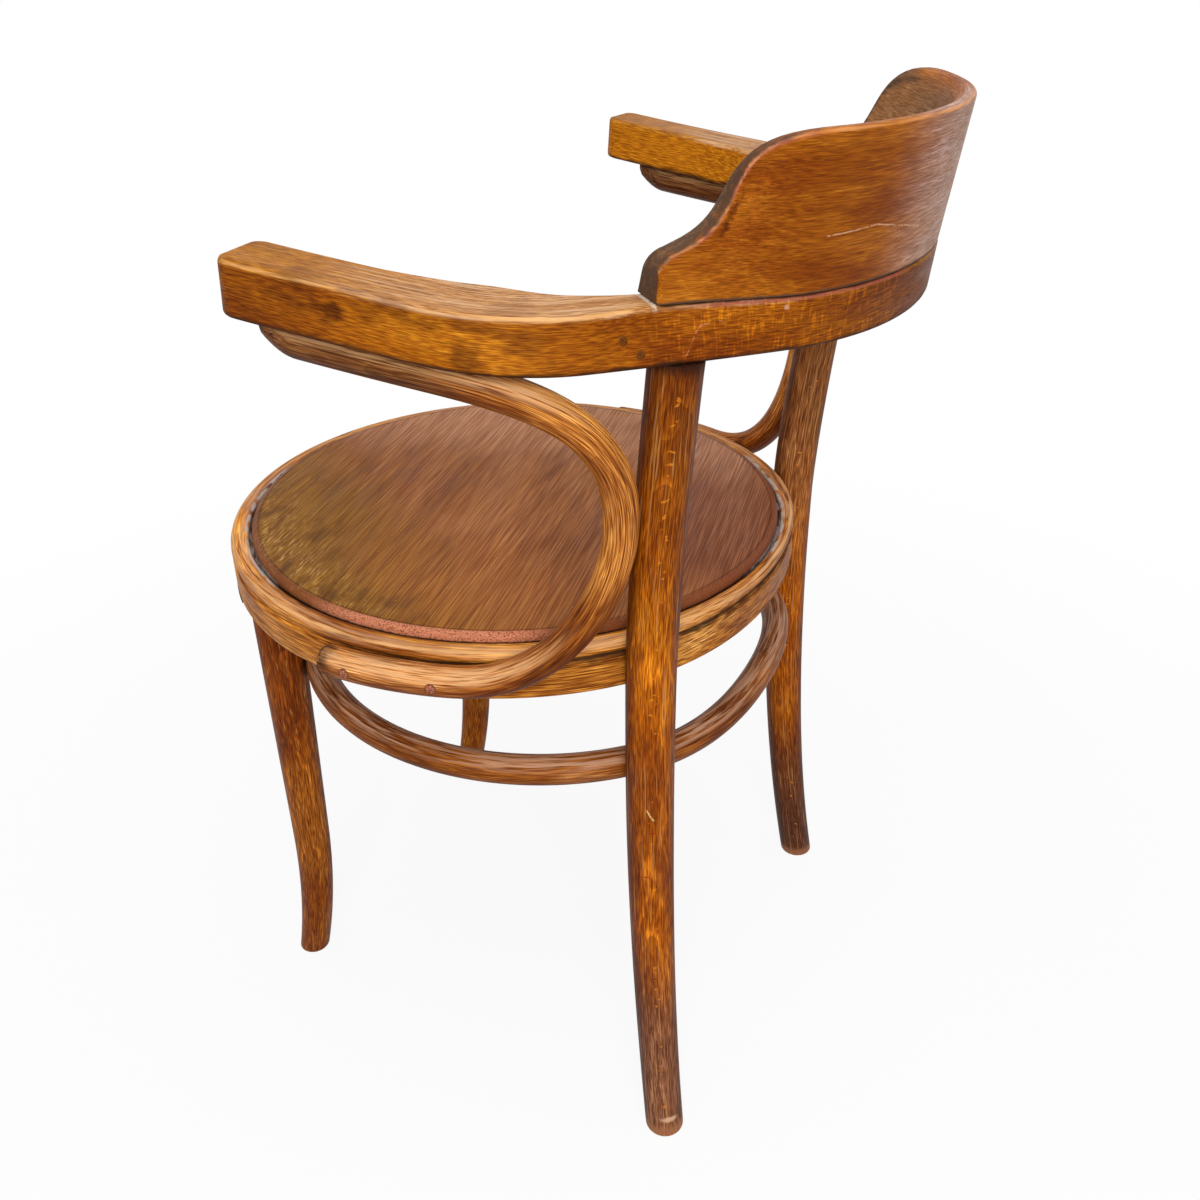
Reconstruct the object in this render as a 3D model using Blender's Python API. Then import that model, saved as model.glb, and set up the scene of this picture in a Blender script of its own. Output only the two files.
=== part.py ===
"""Bentwood bistro armchair: a round plywood seat in a bent ring on four legs, a foot ring between the legs,
a bent bow that makes both arms and the back, a shaped backrest on the bow, and a bent rod under each arm.

Metres, +Z up. The sitter faces -Y, so +X is the sitter's left. The pieces are laid out about the seat's
vertical axis, and one empty then carries them all so that the chair stands centred on the origin.
"""

import math

import bmesh
import bpy
from mathutils import Vector

# Seat: a bent ring with a rebate that holds a plywood disc.
SEAT_HEIGHT = 0.4455
SEAT_RING_RADIUS = 0.2275
SEAT_RING_WIDTH = 0.0495
SEAT_RING_HEIGHT = 0.0365
SEAT_RING_BEAD = 0.010
SEAT_RING_LIP = 0.014
SEAT_RING_FLAT = 0.006
PANEL_THICKNESS = 0.010
PANEL_PROUD = 0.0045
PANEL_GAP = 0.0025
PANEL_EDGE_ROUND = 0.005

# Rear legs: they pass outside the ring and run on up to the bow.
POST_ANGLE = math.radians(50)
POST_FOOT_RADIUS = 0.0153
POST_WAIST_RADIUS = 0.0172
POST_TOP_RADIUS = 0.0163
POST_FOOT_SPLAY = 0.0385
POST_SPLAY_POWER = 2.2
POST_RISE_POWER = 1.5
POST_NOTCH = 0.0023
POST_TAPER_TOP = 0.32
POST_TENON_RADIUS = 0.009
POST_TENON_COVER = 0.0125

# Front legs: tenoned up into the ring, with feet that turn forward.
LEG_ANGLE = math.radians(-44.66)
LEG_TOP_RADIUS = 0.019
LEG_FOOT_RADIUS = 0.0135
LEG_INSET = 0.0251
LEG_LEAN = 0.005
LEG_FOOT_SPLAY = 0.0177
LEG_SPLAY_HEIGHT = 0.15
LEG_TENON_RADIUS = 0.010
LEG_TENON_COVER = 0.0085

# Foot ring: a bent rod inside the four legs, let a little way into each.
FOOT_RING_HEIGHT = 0.3295
FOOT_RING_TUBE = 0.01125
FOOT_RING_NOTCH = 0.0015
FOOT_RING_FLAT = 0.012

# Both rings leave their circle at this angle, and run a little flatter across the back.
FLAT_FROM = math.radians(48)

# Bow: straight arm, elbow, straight quarter, then one arc across the back, as the outer edge runs.
ARM_SPAN = 0.549
ARM_FRONT = -0.0275
ARM_TOE_IN = 0.067
ARM_STRAIGHT = 0.1252
ELBOW_RADIUS = 0.1135
ELBOW_ANGLE = math.radians(46)
QUARTER_STRAIGHT = 0.1161
BOW_THICKNESS = 0.0325
BOW_BACK_HEIGHT = 0.6751
ARM_RISE = 0.0267
ARM_RISE_POWER = 1.6
ARM_WIDTH = 0.0435
ARM_SWELL_FROM = 0.075
ARM_SWELL_TO = 0.155
ELBOW_WIDTH = 0.051
RAIL_WIDTH = 0.029
SHOULDER_SLANT = 0.005
BACK_FLARE = 0.0025
ARM_END_ROUND = 0.012
ARM_END_RAKE = 0.003
BOW_EDGE = 0.0035

# Backrest: a board on the bow, leaning back, with a low shoulder and an ogee at each end.
BACKREST_HALF_LENGTH = 0.223
BACKREST_HEIGHT = 0.0875
BACKREST_SHOULDER = 0.0256
BACKREST_LEAN = math.radians(7.5)
BACKREST_FOOT_THICKNESS = 0.026
BACKREST_TOP_THICKNESS = 0.012
BACKREST_HOLLOW = 1.6
BACKREST_OUTER_EDGE = 0.003
BACKREST_INNER_EDGE = 0.007
SHOULDER_ROUND = 0.009
OGEE_LENGTH = 0.0963
OGEE_START_SLOPE = 0.25
OGEE_START_SHARE = 0.66
OGEE_END_SHARE = 0.89

# Arm supports: bent rods under the arms, past the posts and along the ring.
SUPPORT_RADIUS = 0.011
SUPPORT_INSET = 0.0215
SUPPORT_FRONTS = {1: 0.013, -1: 0.026}
SUPPORT_TAPER = 0.026
SUPPORT_TIP = 0.45
SUPPORT_LEAVES_ARM = 0.1175
SUPPORT_POST_SIDE = math.radians(-34)
SUPPORT_POST_GAP = 0.0006
SUPPORT_POST_SHARE = 0.52
SUPPORT_MEETS_RING = {1: math.radians(18.6), -1: math.radians(21.5)}
SUPPORT_RING_END = math.radians(-3.3)
SUPPORT_FLAT = 0.0014
SUPPORT_DOME = 0.009
SUPPORT_HEIGHT_ON_RING = 0.0204
UPPER_BEND_HANDLES = (0.66, 0.65)
LOWER_BEND_HANDLES = (0.42, 0.60)

# Fasteners.
SCREW_RADIUS = 0.002
SCREW_HEAD_RADIUS = 0.004
SCREW_HEAD_HEIGHT = 0.0025
SCREW_POINT = 0.004
SCREW_BITE = 0.016
PLUG_LENGTH = 0.005
PLUG_RECESS = 0.0004
SUPPORT_RING_SCREW_ANGLES = (math.radians(1.0), math.radians(15.4))
SUPPORT_ARM_SCREW_PLACES = (0.060, 0.105)
PANEL_SCREW_ANGLES = (0.0, math.pi / 2, math.pi, 3 * math.pi / 2)
PANEL_SCREW_COVER = 0.004
BOLT_RADIUS = 0.003
BOLT_HEAD_RADIUS = 0.0065
BOLT_HEAD_HEIGHT = 0.0045
BOLT_COVER = 0.010
WASHER_RADIUS = 0.009
WASHER_THICKNESS = 0.0015
DOWEL_RADIUS = 0.004
DOWEL_COVER = 0.0145
DOWEL_IN_BACKREST = 0.016
DOWEL_CHAMFER = 0.001
DOWEL_PLACES = (0.060, 0.165)
PIN_RADIUS = 0.003
PIN_LENGTH = 0.018
PIN_PLACES = ((0.039, 0.48), (0.029, 0.74))

# Space left between pieces that touch, small eased edges, and how finely round shapes are cut up.
GAP = 0.0003
EDGE = 0.002
MERGE_DISTANCE = 1e-6
SOLVER_ROUNDS = 60
RING_STEPS = 56
FOOT_RING_STEPS = 48
ROD_SIDES = 12
FASTENER_SIDES = 8
STATION_STEP = 0.015
OGEE_STEPS = 12
OGEE_SHARES = [i / OGEE_STEPS for i in range(OGEE_STEPS)]
SHOULDER_TURNS = (0, 30, 60, 90)
POST_STEPS = 16
LEG_FOOT_STEPS = 6
LEG_UPPER_STEPS = 3
SUPPORT_ARM_STEPS = 3
SUPPORT_BEND_STEPS = 9
SUPPORT_RING_STEPS = 4
SUPPORT_TIP_SHARES = (0.0, 0.35, 0.7)
CORNER_TURNS = (0, 45, 90)
ARM_END_TURNS = (0, 30, 60)
BEAD_TURNS = (-60, -15, 20, 55, 90)
DOME_TURNS = (40, 70)
BACKREST_INNER_SHARES = (0.5, 0.2)
SMOOTH_BELOW = math.radians(40)

# Heights and radii that follow from the sizes above.
RING_TOP = SEAT_HEIGHT - PANEL_PROUD
RING_BOTTOM = RING_TOP - SEAT_RING_HEIGHT
RING_LEDGE = SEAT_HEIGHT - PANEL_THICKNESS - GAP
RING_MIDDLE = (RING_TOP + RING_BOTTOM) / 2
RING_INNER = SEAT_RING_RADIUS - SEAT_RING_WIDTH
PANEL_RADIUS = SEAT_RING_RADIUS - SEAT_RING_LIP - PANEL_GAP
POST_RING_RADIUS = SEAT_RING_RADIUS + POST_WAIST_RADIUS - POST_NOTCH
SUPPORT_RING_RADIUS = SEAT_RING_RADIUS + SUPPORT_RADIUS - SUPPORT_FLAT
SUPPORT_LOW = RING_BOTTOM + SUPPORT_HEIGHT_ON_RING
LEG_TENON_LENGTH = RING_LEDGE - RING_BOTTOM - LEG_TENON_COVER
POST_TENON_LENGTH = BOW_THICKNESS - POST_TENON_COVER
DOWEL_IN_BOW = BOW_THICKNESS - DOWEL_COVER
BOLT_BITE = 2 * POST_WAIST_RADIUS - POST_NOTCH - BOLT_COVER

MATERIALS = {
    "bow_wood": ((0.36, 0.16, 0.035), 0.42, 0.0),
    "board_wood": ((0.32, 0.13, 0.028), 0.40, 0.0),
    "rod_wood": ((0.25, 0.105, 0.028), 0.45, 0.0),
    "panel_wood": ((0.23, 0.085, 0.025), 0.48, 0.0),
    "plug_wood": ((0.40, 0.19, 0.09), 0.55, 0.0),
    "dowel_wood": ((0.55, 0.38, 0.20), 0.60, 0.0),
    "steel": ((0.45, 0.43, 0.40), 0.45, 1.0),
}


def clear_scene():
    for leftover in list(bpy.data.objects):
        bpy.data.objects.remove(leftover)


def make_materials():
    """One principled material for each kind of wood and metal."""
    made = {}
    for name, (colour, roughness, metallic) in MATERIALS.items():
        made[name] = bpy.data.materials.new(name)
        made[name].use_nodes = True
        shader = made[name].node_tree.nodes["Principled BSDF"]
        shader.inputs["Base Color"].default_value = (*colour, 1.0)
        shader.inputs["Roughness"].default_value = roughness
        shader.inputs["Metallic"].default_value = metallic
    return made


class Workshop:
    """Makes the chair's objects, with their materials, under the empty that carries them."""

    def __init__(self):
        clear_scene()
        self.materials = make_materials()
        self.carrier = bpy.data.objects.new("chair", None)
        bpy.context.scene.collection.objects.link(self.carrier)

    def add(self, name, bm, material):
        """A mesh object from a bmesh. Without a material it is a cutter, which doesn't show."""
        bmesh.ops.recalc_face_normals(bm, faces=bm.faces)
        mesh = bpy.data.meshes.new(name)
        bm.to_mesh(mesh)
        bm.free()
        mesh.shade_smooth()
        mesh.set_sharp_from_angle(angle=SMOOTH_BELOW)
        piece = bpy.data.objects.new(name, mesh)
        bpy.context.scene.collection.objects.link(piece)
        piece.parent = self.carrier
        if material:
            mesh.materials.append(self.materials[material])
        else:
            piece.hide_render = True
            piece.display_type = "WIRE"
        return piece

    def loft(self, name, rings, material=None):
        """A solid whose skin joins rings of equally many points, closed by a flat face at each end."""
        bm = bmesh.new()
        loops = [[bm.verts.new(point) for point in ring] for ring in rings]
        for near, far in zip(loops, loops[1:]):
            for i in range(len(near)):
                bm.faces.new((near[i - 1], near[i], far[i], far[i - 1]))
        bm.faces.new(loops[0])
        bm.faces.new(loops[-1])
        return self.add(name, bm, material)

    def hoop(self, name, section, steps, material=None):
        """A closed ring about Z. section(angle) gives the (radius, height) points round it there."""
        bm = bmesh.new()
        angles = [math.tau * i / steps for i in range(steps)]
        loops = [[bm.verts.new(around(radius, angle, height)) for radius, height in section(angle)]
                 for angle in angles]
        for near, far in zip(loops, loops[1:] + loops[:1]):
            for i in range(len(near)):
                bm.faces.new((near[i - 1], near[i], far[i], far[i - 1]))
        return self.add(name, bm, material)

    def spin(self, name, profile, steps, material=None):
        """A solid turned about Z from (radius, height) points that start and end on the axis."""
        bm = bmesh.new()
        verts = [bm.verts.new((radius, 0.0, height)) for radius, height in profile]
        edges = [bm.edges.new(pair) for pair in zip(verts, verts[1:])]
        bmesh.ops.spin(bm, geom=verts + edges, axis=(0, 0, 1), cent=(0, 0, 0), angle=math.tau,
                       steps=steps, use_merge=True)
        bmesh.ops.remove_doubles(bm, verts=bm.verts, dist=MERGE_DISTANCE)
        return self.add(name, bm, material)

    def fastener(self, name, profile, start, direction, material=None):
        """A small turned piece whose axis runs from start along direction."""
        piece = self.spin(name, profile, FASTENER_SIDES, material)
        piece.location = start
        piece.rotation_euler = Vector(direction).to_track_quat("Z", "Y").to_euler()
        return piece

    def cut(self, cutter, *hosts):
        for host in hosts:
            boolean = host.modifiers.new(cutter.name, "BOOLEAN")
            boolean.operation = "DIFFERENCE"
            boolean.solver = "EXACT"
            boolean.object = cutter

    def centre(self):
        """Moves the carrier so that the chair's bounding box is centred over the origin."""
        solids = [piece for piece in self.carrier.children if not piece.hide_render]
        bpy.context.view_layer.update()
        reach = [(piece.matrix_world @ Vector(corner)).y for piece in solids for corner in piece.bound_box]
        self.carrier.location.y = -(min(reach) + max(reach)) / 2


def smooth_step(value, start, end):
    share = min(1.0, max(0.0, (value - start) / (end - start)))
    return share * share * (3 - 2 * share)


def mix(first, second, share):
    return first + (second - first) * share


def bezier(p0, p1, p2, p3, share):
    rest = 1 - share
    return p0 * rest**3 + p1 * 3 * rest**2 * share + p2 * 3 * rest * share**2 + p3 * share**3


def around(radius, angle, height=0.0):
    """The point at an angle about the seat's axis."""
    return Vector((radius * math.cos(angle), radius * math.sin(angle), height))


def circle(centre, radius):
    """A level ring of points."""
    return [centre + around(radius, math.tau * i / ROD_SIDES) for i in range(ROD_SIDES)]


def mirrored(points):
    return [Vector((-point.x, point.y, point.z)) for point in points]


def on_side(side, point):
    return Vector((side * point.x, point.y, point.z))


# The bow's outer edge in plan, from an arm's front end to the middle of the back.
ELBOW_LENGTH = ELBOW_RADIUS * ELBOW_ANGLE
BACK_ANGLE = math.pi / 2 - ARM_TOE_IN - ELBOW_ANGLE


def advance(x, y, heading, length, curvature):
    """Where a run of constant curvature ends."""
    turned = heading + length * curvature
    if curvature == 0:
        return x + length * math.cos(heading), y + length * math.sin(heading), turned
    across = (math.sin(turned) - math.sin(heading)) / curvature
    along = (math.cos(heading) - math.cos(turned)) / curvature
    return x + across, y + along, turned


def run_along(runs, distance):
    """Plan point and heading at a distance along the runs, from the arm's front end."""
    x, y, heading = ARM_SPAN / 2, ARM_FRONT, math.pi / 2 + ARM_TOE_IN
    for length, curvature in runs:
        step = min(length, distance)
        x, y, heading = advance(x, y, heading, step, curvature)
        distance -= step
    return x, y, heading


SIDE_RUNS = ((ARM_STRAIGHT, 0.0), (ELBOW_LENGTH, 1 / ELBOW_RADIUS), (QUARTER_STRAIGHT, 0.0))
SIDE_LENGTH = ARM_STRAIGHT + ELBOW_LENGTH + QUARTER_STRAIGHT
BACK_RADIUS = run_along(SIDE_RUNS, SIDE_LENGTH)[0] / math.sin(BACK_ANGLE)
BACK_LENGTH = BACK_RADIUS * BACK_ANGLE
BOW_RUNS = (*SIDE_RUNS, (BACK_LENGTH, 1 / BACK_RADIUS))
BOW_HALF = SIDE_LENGTH + BACK_LENGTH
BOW_BACK = run_along(BOW_RUNS, BOW_HALF)[1]
BACKREST_END = BOW_HALF - BACKREST_HALF_LENGTH


def bow_top(y):
    """Height of the bow's upper face. The arms rise towards the front."""
    share = max(0.0, (BOW_BACK - y) / (BOW_BACK - ARM_FRONT))
    return BOW_BACK_HEIGHT + ARM_RISE * share**ARM_RISE_POWER


def bow_bottom(y):
    return bow_top(y) - BOW_THICKNESS


def bow_point(distance, inward, height=0.0):
    """A point a way in from the outer edge, with its height above the bow's upper face there."""
    x, y, heading = run_along(BOW_RUNS, distance)
    x -= inward * math.sin(heading)
    y += inward * math.cos(heading)
    return Vector((x, y, bow_top(y) + height))


def bow_inward(distance):
    """The level direction that points in from the outer edge."""
    heading = run_along(BOW_RUNS, distance)[2]
    return Vector((-math.sin(heading), math.cos(heading), 0.0))


def bow_width(distance):
    """The arm swells at the elbow and then narrows to the rail under the backrest."""
    arm = mix(ARM_WIDTH, ELBOW_WIDTH, smooth_step(distance, ARM_SWELL_FROM, ARM_SWELL_TO))
    return mix(arm, RAIL_WIDTH, smooth_step(distance, ARM_SWELL_TO, BACKREST_END))


def face_slant(distance):
    """How far in the outer face's top edge lies: in at the backrest's ends, and out along the back."""
    slant = SHOULDER_SLANT * smooth_step(distance, BACKREST_END - OGEE_LENGTH / 2, BACKREST_END)
    return mix(slant, -BACK_FLARE, smooth_step(distance, BACKREST_END, BACKREST_END + OGEE_LENGTH))


def station_distances(first, last):
    count = max(1, round((last - first) / STATION_STEP))
    return [mix(first, last, i / count) for i in range(count + 1)]


def both_halves(half):
    """Rings of one half, from its end to the middle, carried on over the other half."""
    return half + [mirrored(ring) for ring in half[-2::-1]]


def rounded_corner(corner_u, corner_h, radius, first_angle):
    """Three points that ease one corner of a section."""
    angles = [first_angle + math.radians(turn) for turn in CORNER_TURNS]
    return [(corner_u + radius * math.cos(angle), corner_h + radius * math.sin(angle)) for angle in angles]


def bow_section(distance):
    """Points round the bow at one station. The front end's upright corners are rounded."""
    short = max(0.0, ARM_END_ROUND - distance)
    trim = ARM_END_ROUND - math.sqrt(ARM_END_ROUND**2 - short**2)
    outer = trim
    inner = bow_width(distance) - trim
    low = BOW_EDGE - BOW_THICKNESS
    corners = (
        *rounded_corner(outer + BOW_EDGE, low, BOW_EDGE, math.pi),
        *rounded_corner(inner - BOW_EDGE, low, BOW_EDGE, 1.5 * math.pi),
        *rounded_corner(inner - BOW_EDGE, -BOW_EDGE, BOW_EDGE, 0.0),
        *rounded_corner(outer + face_slant(distance) + BOW_EDGE, -BOW_EDGE, BOW_EDGE, 0.5 * math.pi),
    )
    rake = ARM_END_RAKE * short / ARM_END_ROUND
    return [bow_point(distance + rake * (1 + h / BOW_THICKNESS), inward, h) for inward, h in corners]


def make_bow(shop):
    end = [ARM_END_ROUND * (1 - math.cos(math.radians(turn))) for turn in ARM_END_TURNS]
    half = [bow_section(distance) for distance in end + station_distances(ARM_END_ROUND, BOW_HALF)]
    return shop.loft("arm_bow", both_halves(half), "bow_wood")


def ogee(share):
    """Distance from the backrest's end, and height there, along its ogee."""
    start = Vector((0.0, BACKREST_SHOULDER))
    end = Vector((OGEE_LENGTH, BACKREST_HEIGHT))
    start_handle = start + OGEE_START_SHARE * OGEE_LENGTH * Vector((1.0, OGEE_START_SLOPE))
    end_handle = end - Vector((OGEE_END_SHARE * OGEE_LENGTH, 0.0))
    return bezier(start, start_handle, end_handle, end, share)


def shoulder(turn):
    """Distance from the backrest's end, and height there, round the shoulder's corner below the ogee."""
    along = SHOULDER_ROUND * (1 - math.cos(math.radians(turn)))
    drop = SHOULDER_ROUND * (1 - math.sin(math.radians(turn)))
    return along, BACKREST_SHOULDER + OGEE_START_SLOPE * along - drop


def backrest_section(distance, height):
    """Points round the backrest at one station, up its outer face and down its inner one."""
    def outer(h):
        return face_slant(distance) - h * math.tan(BACKREST_LEAN)

    def inner(h):
        hollow = (1 - h / BACKREST_HEIGHT) ** BACKREST_HOLLOW
        return outer(h) + mix(BACKREST_TOP_THICKNESS, BACKREST_FOOT_THICKNESS, hollow)

    eased_share = 1 - math.sqrt(0.5)
    outer_below = height - BACKREST_OUTER_EDGE
    inner_below = height - BACKREST_INNER_EDGE
    outer_eased = BACKREST_OUTER_EDGE * eased_share
    inner_eased = BACKREST_INNER_EDGE * eased_share
    corners = (
        (outer(0), 0.0),
        (outer(outer_below), outer_below),
        (outer(height) + outer_eased, height - outer_eased),
        (outer(height) + BACKREST_OUTER_EDGE, height),
        (inner(height) - BACKREST_INNER_EDGE, height),
        (inner(height) - inner_eased, height - inner_eased),
        (inner(inner_below), inner_below),
        *((inner(height * share), height * share) for share in BACKREST_INNER_SHARES),
        (inner(0), 0.0),
    )
    return [bow_point(distance, inward, h + GAP) for inward, h in corners]


def make_backrest(shop):
    curve = [shoulder(turn) for turn in SHOULDER_TURNS]
    curve += [point for point in map(ogee, OGEE_SHARES) if point[0] > SHOULDER_ROUND]
    half = [backrest_section(BACKREST_END + along, height) for along, height in curve]
    level = station_distances(BACKREST_END + OGEE_LENGTH, BOW_HALF)
    half += [backrest_section(distance, BACKREST_HEIGHT) for distance in level]
    return shop.loft("backrest", both_halves(half), "board_wood")


def flattened(angle, depth):
    """How far inside its circle a ring runs, up to the depth at the middle of the back."""
    start = math.sin(FLAT_FROM)
    return depth * max(0.0, (math.sin(angle) - start) / (1 - start)) ** 2


def seat_ring_section(angle):
    """Flat band, groove and half-round bead outside; lip and ledge for the panel inside."""
    outer = SEAT_RING_RADIUS - flattened(angle, SEAT_RING_FLAT)
    bead = SEAT_RING_BEAD / 2
    bead_centre = (outer - bead, RING_TOP - bead)
    bead_angles = [math.radians(turn) for turn in BEAD_TURNS]
    lip = SEAT_RING_RADIUS - SEAT_RING_LIP
    return [
        (RING_INNER, RING_BOTTOM),
        (outer - EDGE, RING_BOTTOM),
        (outer, RING_BOTTOM + EDGE),
        (outer, RING_TOP - SEAT_RING_BEAD - EDGE),
        *((bead_centre[0] + bead * math.cos(a), bead_centre[1] + bead * math.sin(a)) for a in bead_angles),
        (lip + EDGE, RING_TOP),
        (lip, RING_TOP - EDGE),
        (lip, RING_LEDGE),
        (RING_INNER, RING_LEDGE),
    ]


def make_seat_ring(shop):
    return shop.hoop("seat_ring", seat_ring_section, RING_STEPS, "rod_wood")


def make_seat_panel(shop):
    bottom = SEAT_HEIGHT - PANEL_THICKNESS
    rounding = PANEL_EDGE_ROUND * (1 - math.sqrt(0.5))
    profile = [
        (0.0, SEAT_HEIGHT),
        (PANEL_RADIUS - PANEL_EDGE_ROUND, SEAT_HEIGHT),
        (PANEL_RADIUS - rounding, SEAT_HEIGHT - rounding),
        (PANEL_RADIUS, SEAT_HEIGHT - PANEL_EDGE_ROUND),
        (PANEL_RADIUS, bottom),
        (0.0, bottom),
    ]
    return shop.spin("seat_panel", profile, RING_STEPS, "panel_wood")


def post_station():
    """Distance along the bow to where the rail's middle lies at the post's angle about the seat."""
    near, far = ARM_STRAIGHT, BOW_HALF
    for _ in range(SOLVER_ROUNDS):
        middle = (near + far) / 2
        point = bow_point(middle, bow_width(middle) / 2)
        if math.atan2(point.y, point.x) < POST_ANGLE:
            near = middle
        else:
            far = middle
    return near


def post_top():
    """The middle of the rail's underside over the post."""
    station = post_station()
    return bow_point(station, bow_width(station) / 2, -BOW_THICKNESS)


def post_centre(height):
    """The rear leg's centre line: splayed below the ring, and bent out to the rail above it."""
    base = around(POST_RING_RADIUS, POST_ANGLE)
    if height < RING_MIDDLE:
        splay = POST_FOOT_SPLAY * (1 - height / RING_MIDDLE) ** POST_SPLAY_POWER
        return around(POST_RING_RADIUS + splay, POST_ANGLE, height)
    top = post_top()
    share = ((height - RING_MIDDLE) / (top.z - RING_MIDDLE)) ** POST_RISE_POWER
    return Vector((mix(base.x, top.x, share), mix(base.y, top.y, share), height))


def post_radius(height):
    lower = mix(POST_FOOT_RADIUS, POST_WAIST_RADIUS, smooth_step(height, 0.0, POST_TAPER_TOP))
    return mix(lower, POST_TOP_RADIUS, smooth_step(height, RING_MIDDLE, post_top().z))


def make_post(shop, side, name):
    """A rear leg: its shoulder follows the slope of the bow's underside, and its tenon goes into the bow."""
    top = post_top()
    heights = [mix(EDGE, top.z, i / POST_STEPS) for i in range(POST_STEPS)]
    rings = [circle(post_centre(0.0), POST_FOOT_RADIUS - EDGE)]
    rings += [circle(post_centre(height), post_radius(height)) for height in heights]
    for radius in (POST_TOP_RADIUS, POST_TENON_RADIUS):
        ring = circle(top, radius)
        rings.append([Vector((point.x, point.y, bow_bottom(point.y) - GAP)) for point in ring])
    rings.append(circle(top + Vector((0, 0, POST_TENON_LENGTH)), POST_TENON_RADIUS))
    return shop.loft(name, [[on_side(side, point) for point in ring] for ring in rings], "rod_wood")


def leg_centre(height):
    """A front leg's centre line: nearly upright, with its foot turned forward."""
    lean = LEG_LEAN * (1 - height / RING_BOTTOM)
    turn = LEG_FOOT_SPLAY * max(0.0, 1 - height / LEG_SPLAY_HEIGHT) ** 2
    return around(SEAT_RING_RADIUS - LEG_INSET, LEG_ANGLE, height) - Vector((0, lean + turn, 0))


def leg_radius(height):
    return mix(LEG_FOOT_RADIUS, LEG_TOP_RADIUS, height / RING_BOTTOM)


def make_leg(shop, side, name):
    neck = RING_BOTTOM - GAP
    heights = [mix(EDGE, LEG_SPLAY_HEIGHT, i / LEG_FOOT_STEPS) for i in range(LEG_FOOT_STEPS)]
    heights += [mix(LEG_SPLAY_HEIGHT, neck, i / LEG_UPPER_STEPS) for i in range(LEG_UPPER_STEPS + 1)]
    rings = [circle(leg_centre(0.0), LEG_FOOT_RADIUS - EDGE)]
    rings += [circle(leg_centre(height), leg_radius(height)) for height in heights]
    top = leg_centre(neck)
    rings.append(circle(top, LEG_TENON_RADIUS))
    rings.append(circle(top + Vector((0, 0, LEG_TENON_LENGTH)), LEG_TENON_RADIUS))
    return shop.loft(name, [[on_side(side, point) for point in ring] for ring in rings], "rod_wood")


def foot_ring_plan():
    """Centre and radius of the circle that touches both legs of a side, less the notch in each."""
    post = post_centre(FOOT_RING_HEIGHT)
    leg = leg_centre(FOOT_RING_HEIGHT)
    to_post = post_radius(FOOT_RING_HEIGHT) + FOOT_RING_TUBE - FOOT_RING_NOTCH
    to_leg = leg_radius(FOOT_RING_HEIGHT) + FOOT_RING_TUBE - FOOT_RING_NOTCH
    middle, radius = 0.0, SEAT_RING_RADIUS
    for _ in range(SOLVER_ROUNDS):
        squares = post.x**2 + post.y**2 - leg.x**2 - leg.y**2
        middle = (squares - (to_post - to_leg) * (2 * radius + to_post + to_leg)) / (2 * (post.y - leg.y))
        radius = math.hypot(post.x, post.y - middle) - to_post
    return middle, radius


def make_foot_ring(shop, name, grow=0.0, material=None):
    middle, radius = foot_ring_plan()

    def section(angle):
        core = Vector((radius - flattened(angle, FOOT_RING_FLAT), 0.0, 0.0))
        return [(point.x, point.y) for point in circle(core, FOOT_RING_TUBE + grow)]

    ring = shop.hoop(name, section, FOOT_RING_STEPS, material)
    ring.location = (0.0, middle, FOOT_RING_HEIGHT)
    return ring


def support_under_arm(distance, radius):
    """Centre of the support where it lies against the arm's underside."""
    return bow_point(distance, SUPPORT_INSET, -BOW_THICKNESS - GAP - radius)


def support_path(side):
    """Centre line of a support, as on the left, from under the arm, past the post, and along the ring."""
    full = SUPPORT_FRONTS[side] + SUPPORT_TAPER
    run = [mix(full, SUPPORT_LEAVES_ARM, i / SUPPORT_ARM_STEPS) for i in range(SUPPORT_ARM_STEPS + 1)]
    path = [support_under_arm(distance, SUPPORT_RADIUS) for distance in run]
    leave = path[-1]
    leave_heading = (path[-1] - path[-2]).normalized()
    post_height = mix(SUPPORT_LOW, leave.z, SUPPORT_POST_SHARE)
    reach = post_radius(post_height) + SUPPORT_RADIUS + SUPPORT_POST_GAP
    beside_post = post_centre(post_height) + around(reach, SUPPORT_POST_SIDE)
    rise = SUPPORT_RADIUS
    down = (post_centre(post_height - rise) - post_centre(post_height + rise)).normalized()
    meet_angle = SUPPORT_MEETS_RING[side]
    meet = around(SUPPORT_RING_RADIUS, meet_angle, SUPPORT_LOW)
    forward = around(1.0, meet_angle - math.pi / 2)
    drop = leave.z - post_height
    fall = post_height - SUPPORT_LOW
    shares = [i / SUPPORT_BEND_STEPS for i in range(1, SUPPORT_BEND_STEPS + 1)]
    upper_start = leave + leave_heading * UPPER_BEND_HANDLES[0] * drop
    upper_end = beside_post - down * UPPER_BEND_HANDLES[1] * drop
    path += [bezier(leave, upper_start, upper_end, beside_post, share) for share in shares]
    lower_start = beside_post + down * LOWER_BEND_HANDLES[0] * fall
    lower_end = meet - forward * LOWER_BEND_HANDLES[1] * fall
    path += [bezier(beside_post, lower_start, lower_end, meet, share) for share in shares]
    for i in range(1, SUPPORT_RING_STEPS + 1):
        angle = mix(meet_angle, SUPPORT_RING_END, i / SUPPORT_RING_STEPS)
        path.append(around(SUPPORT_RING_RADIUS, angle, SUPPORT_LOW))
    return path


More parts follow.
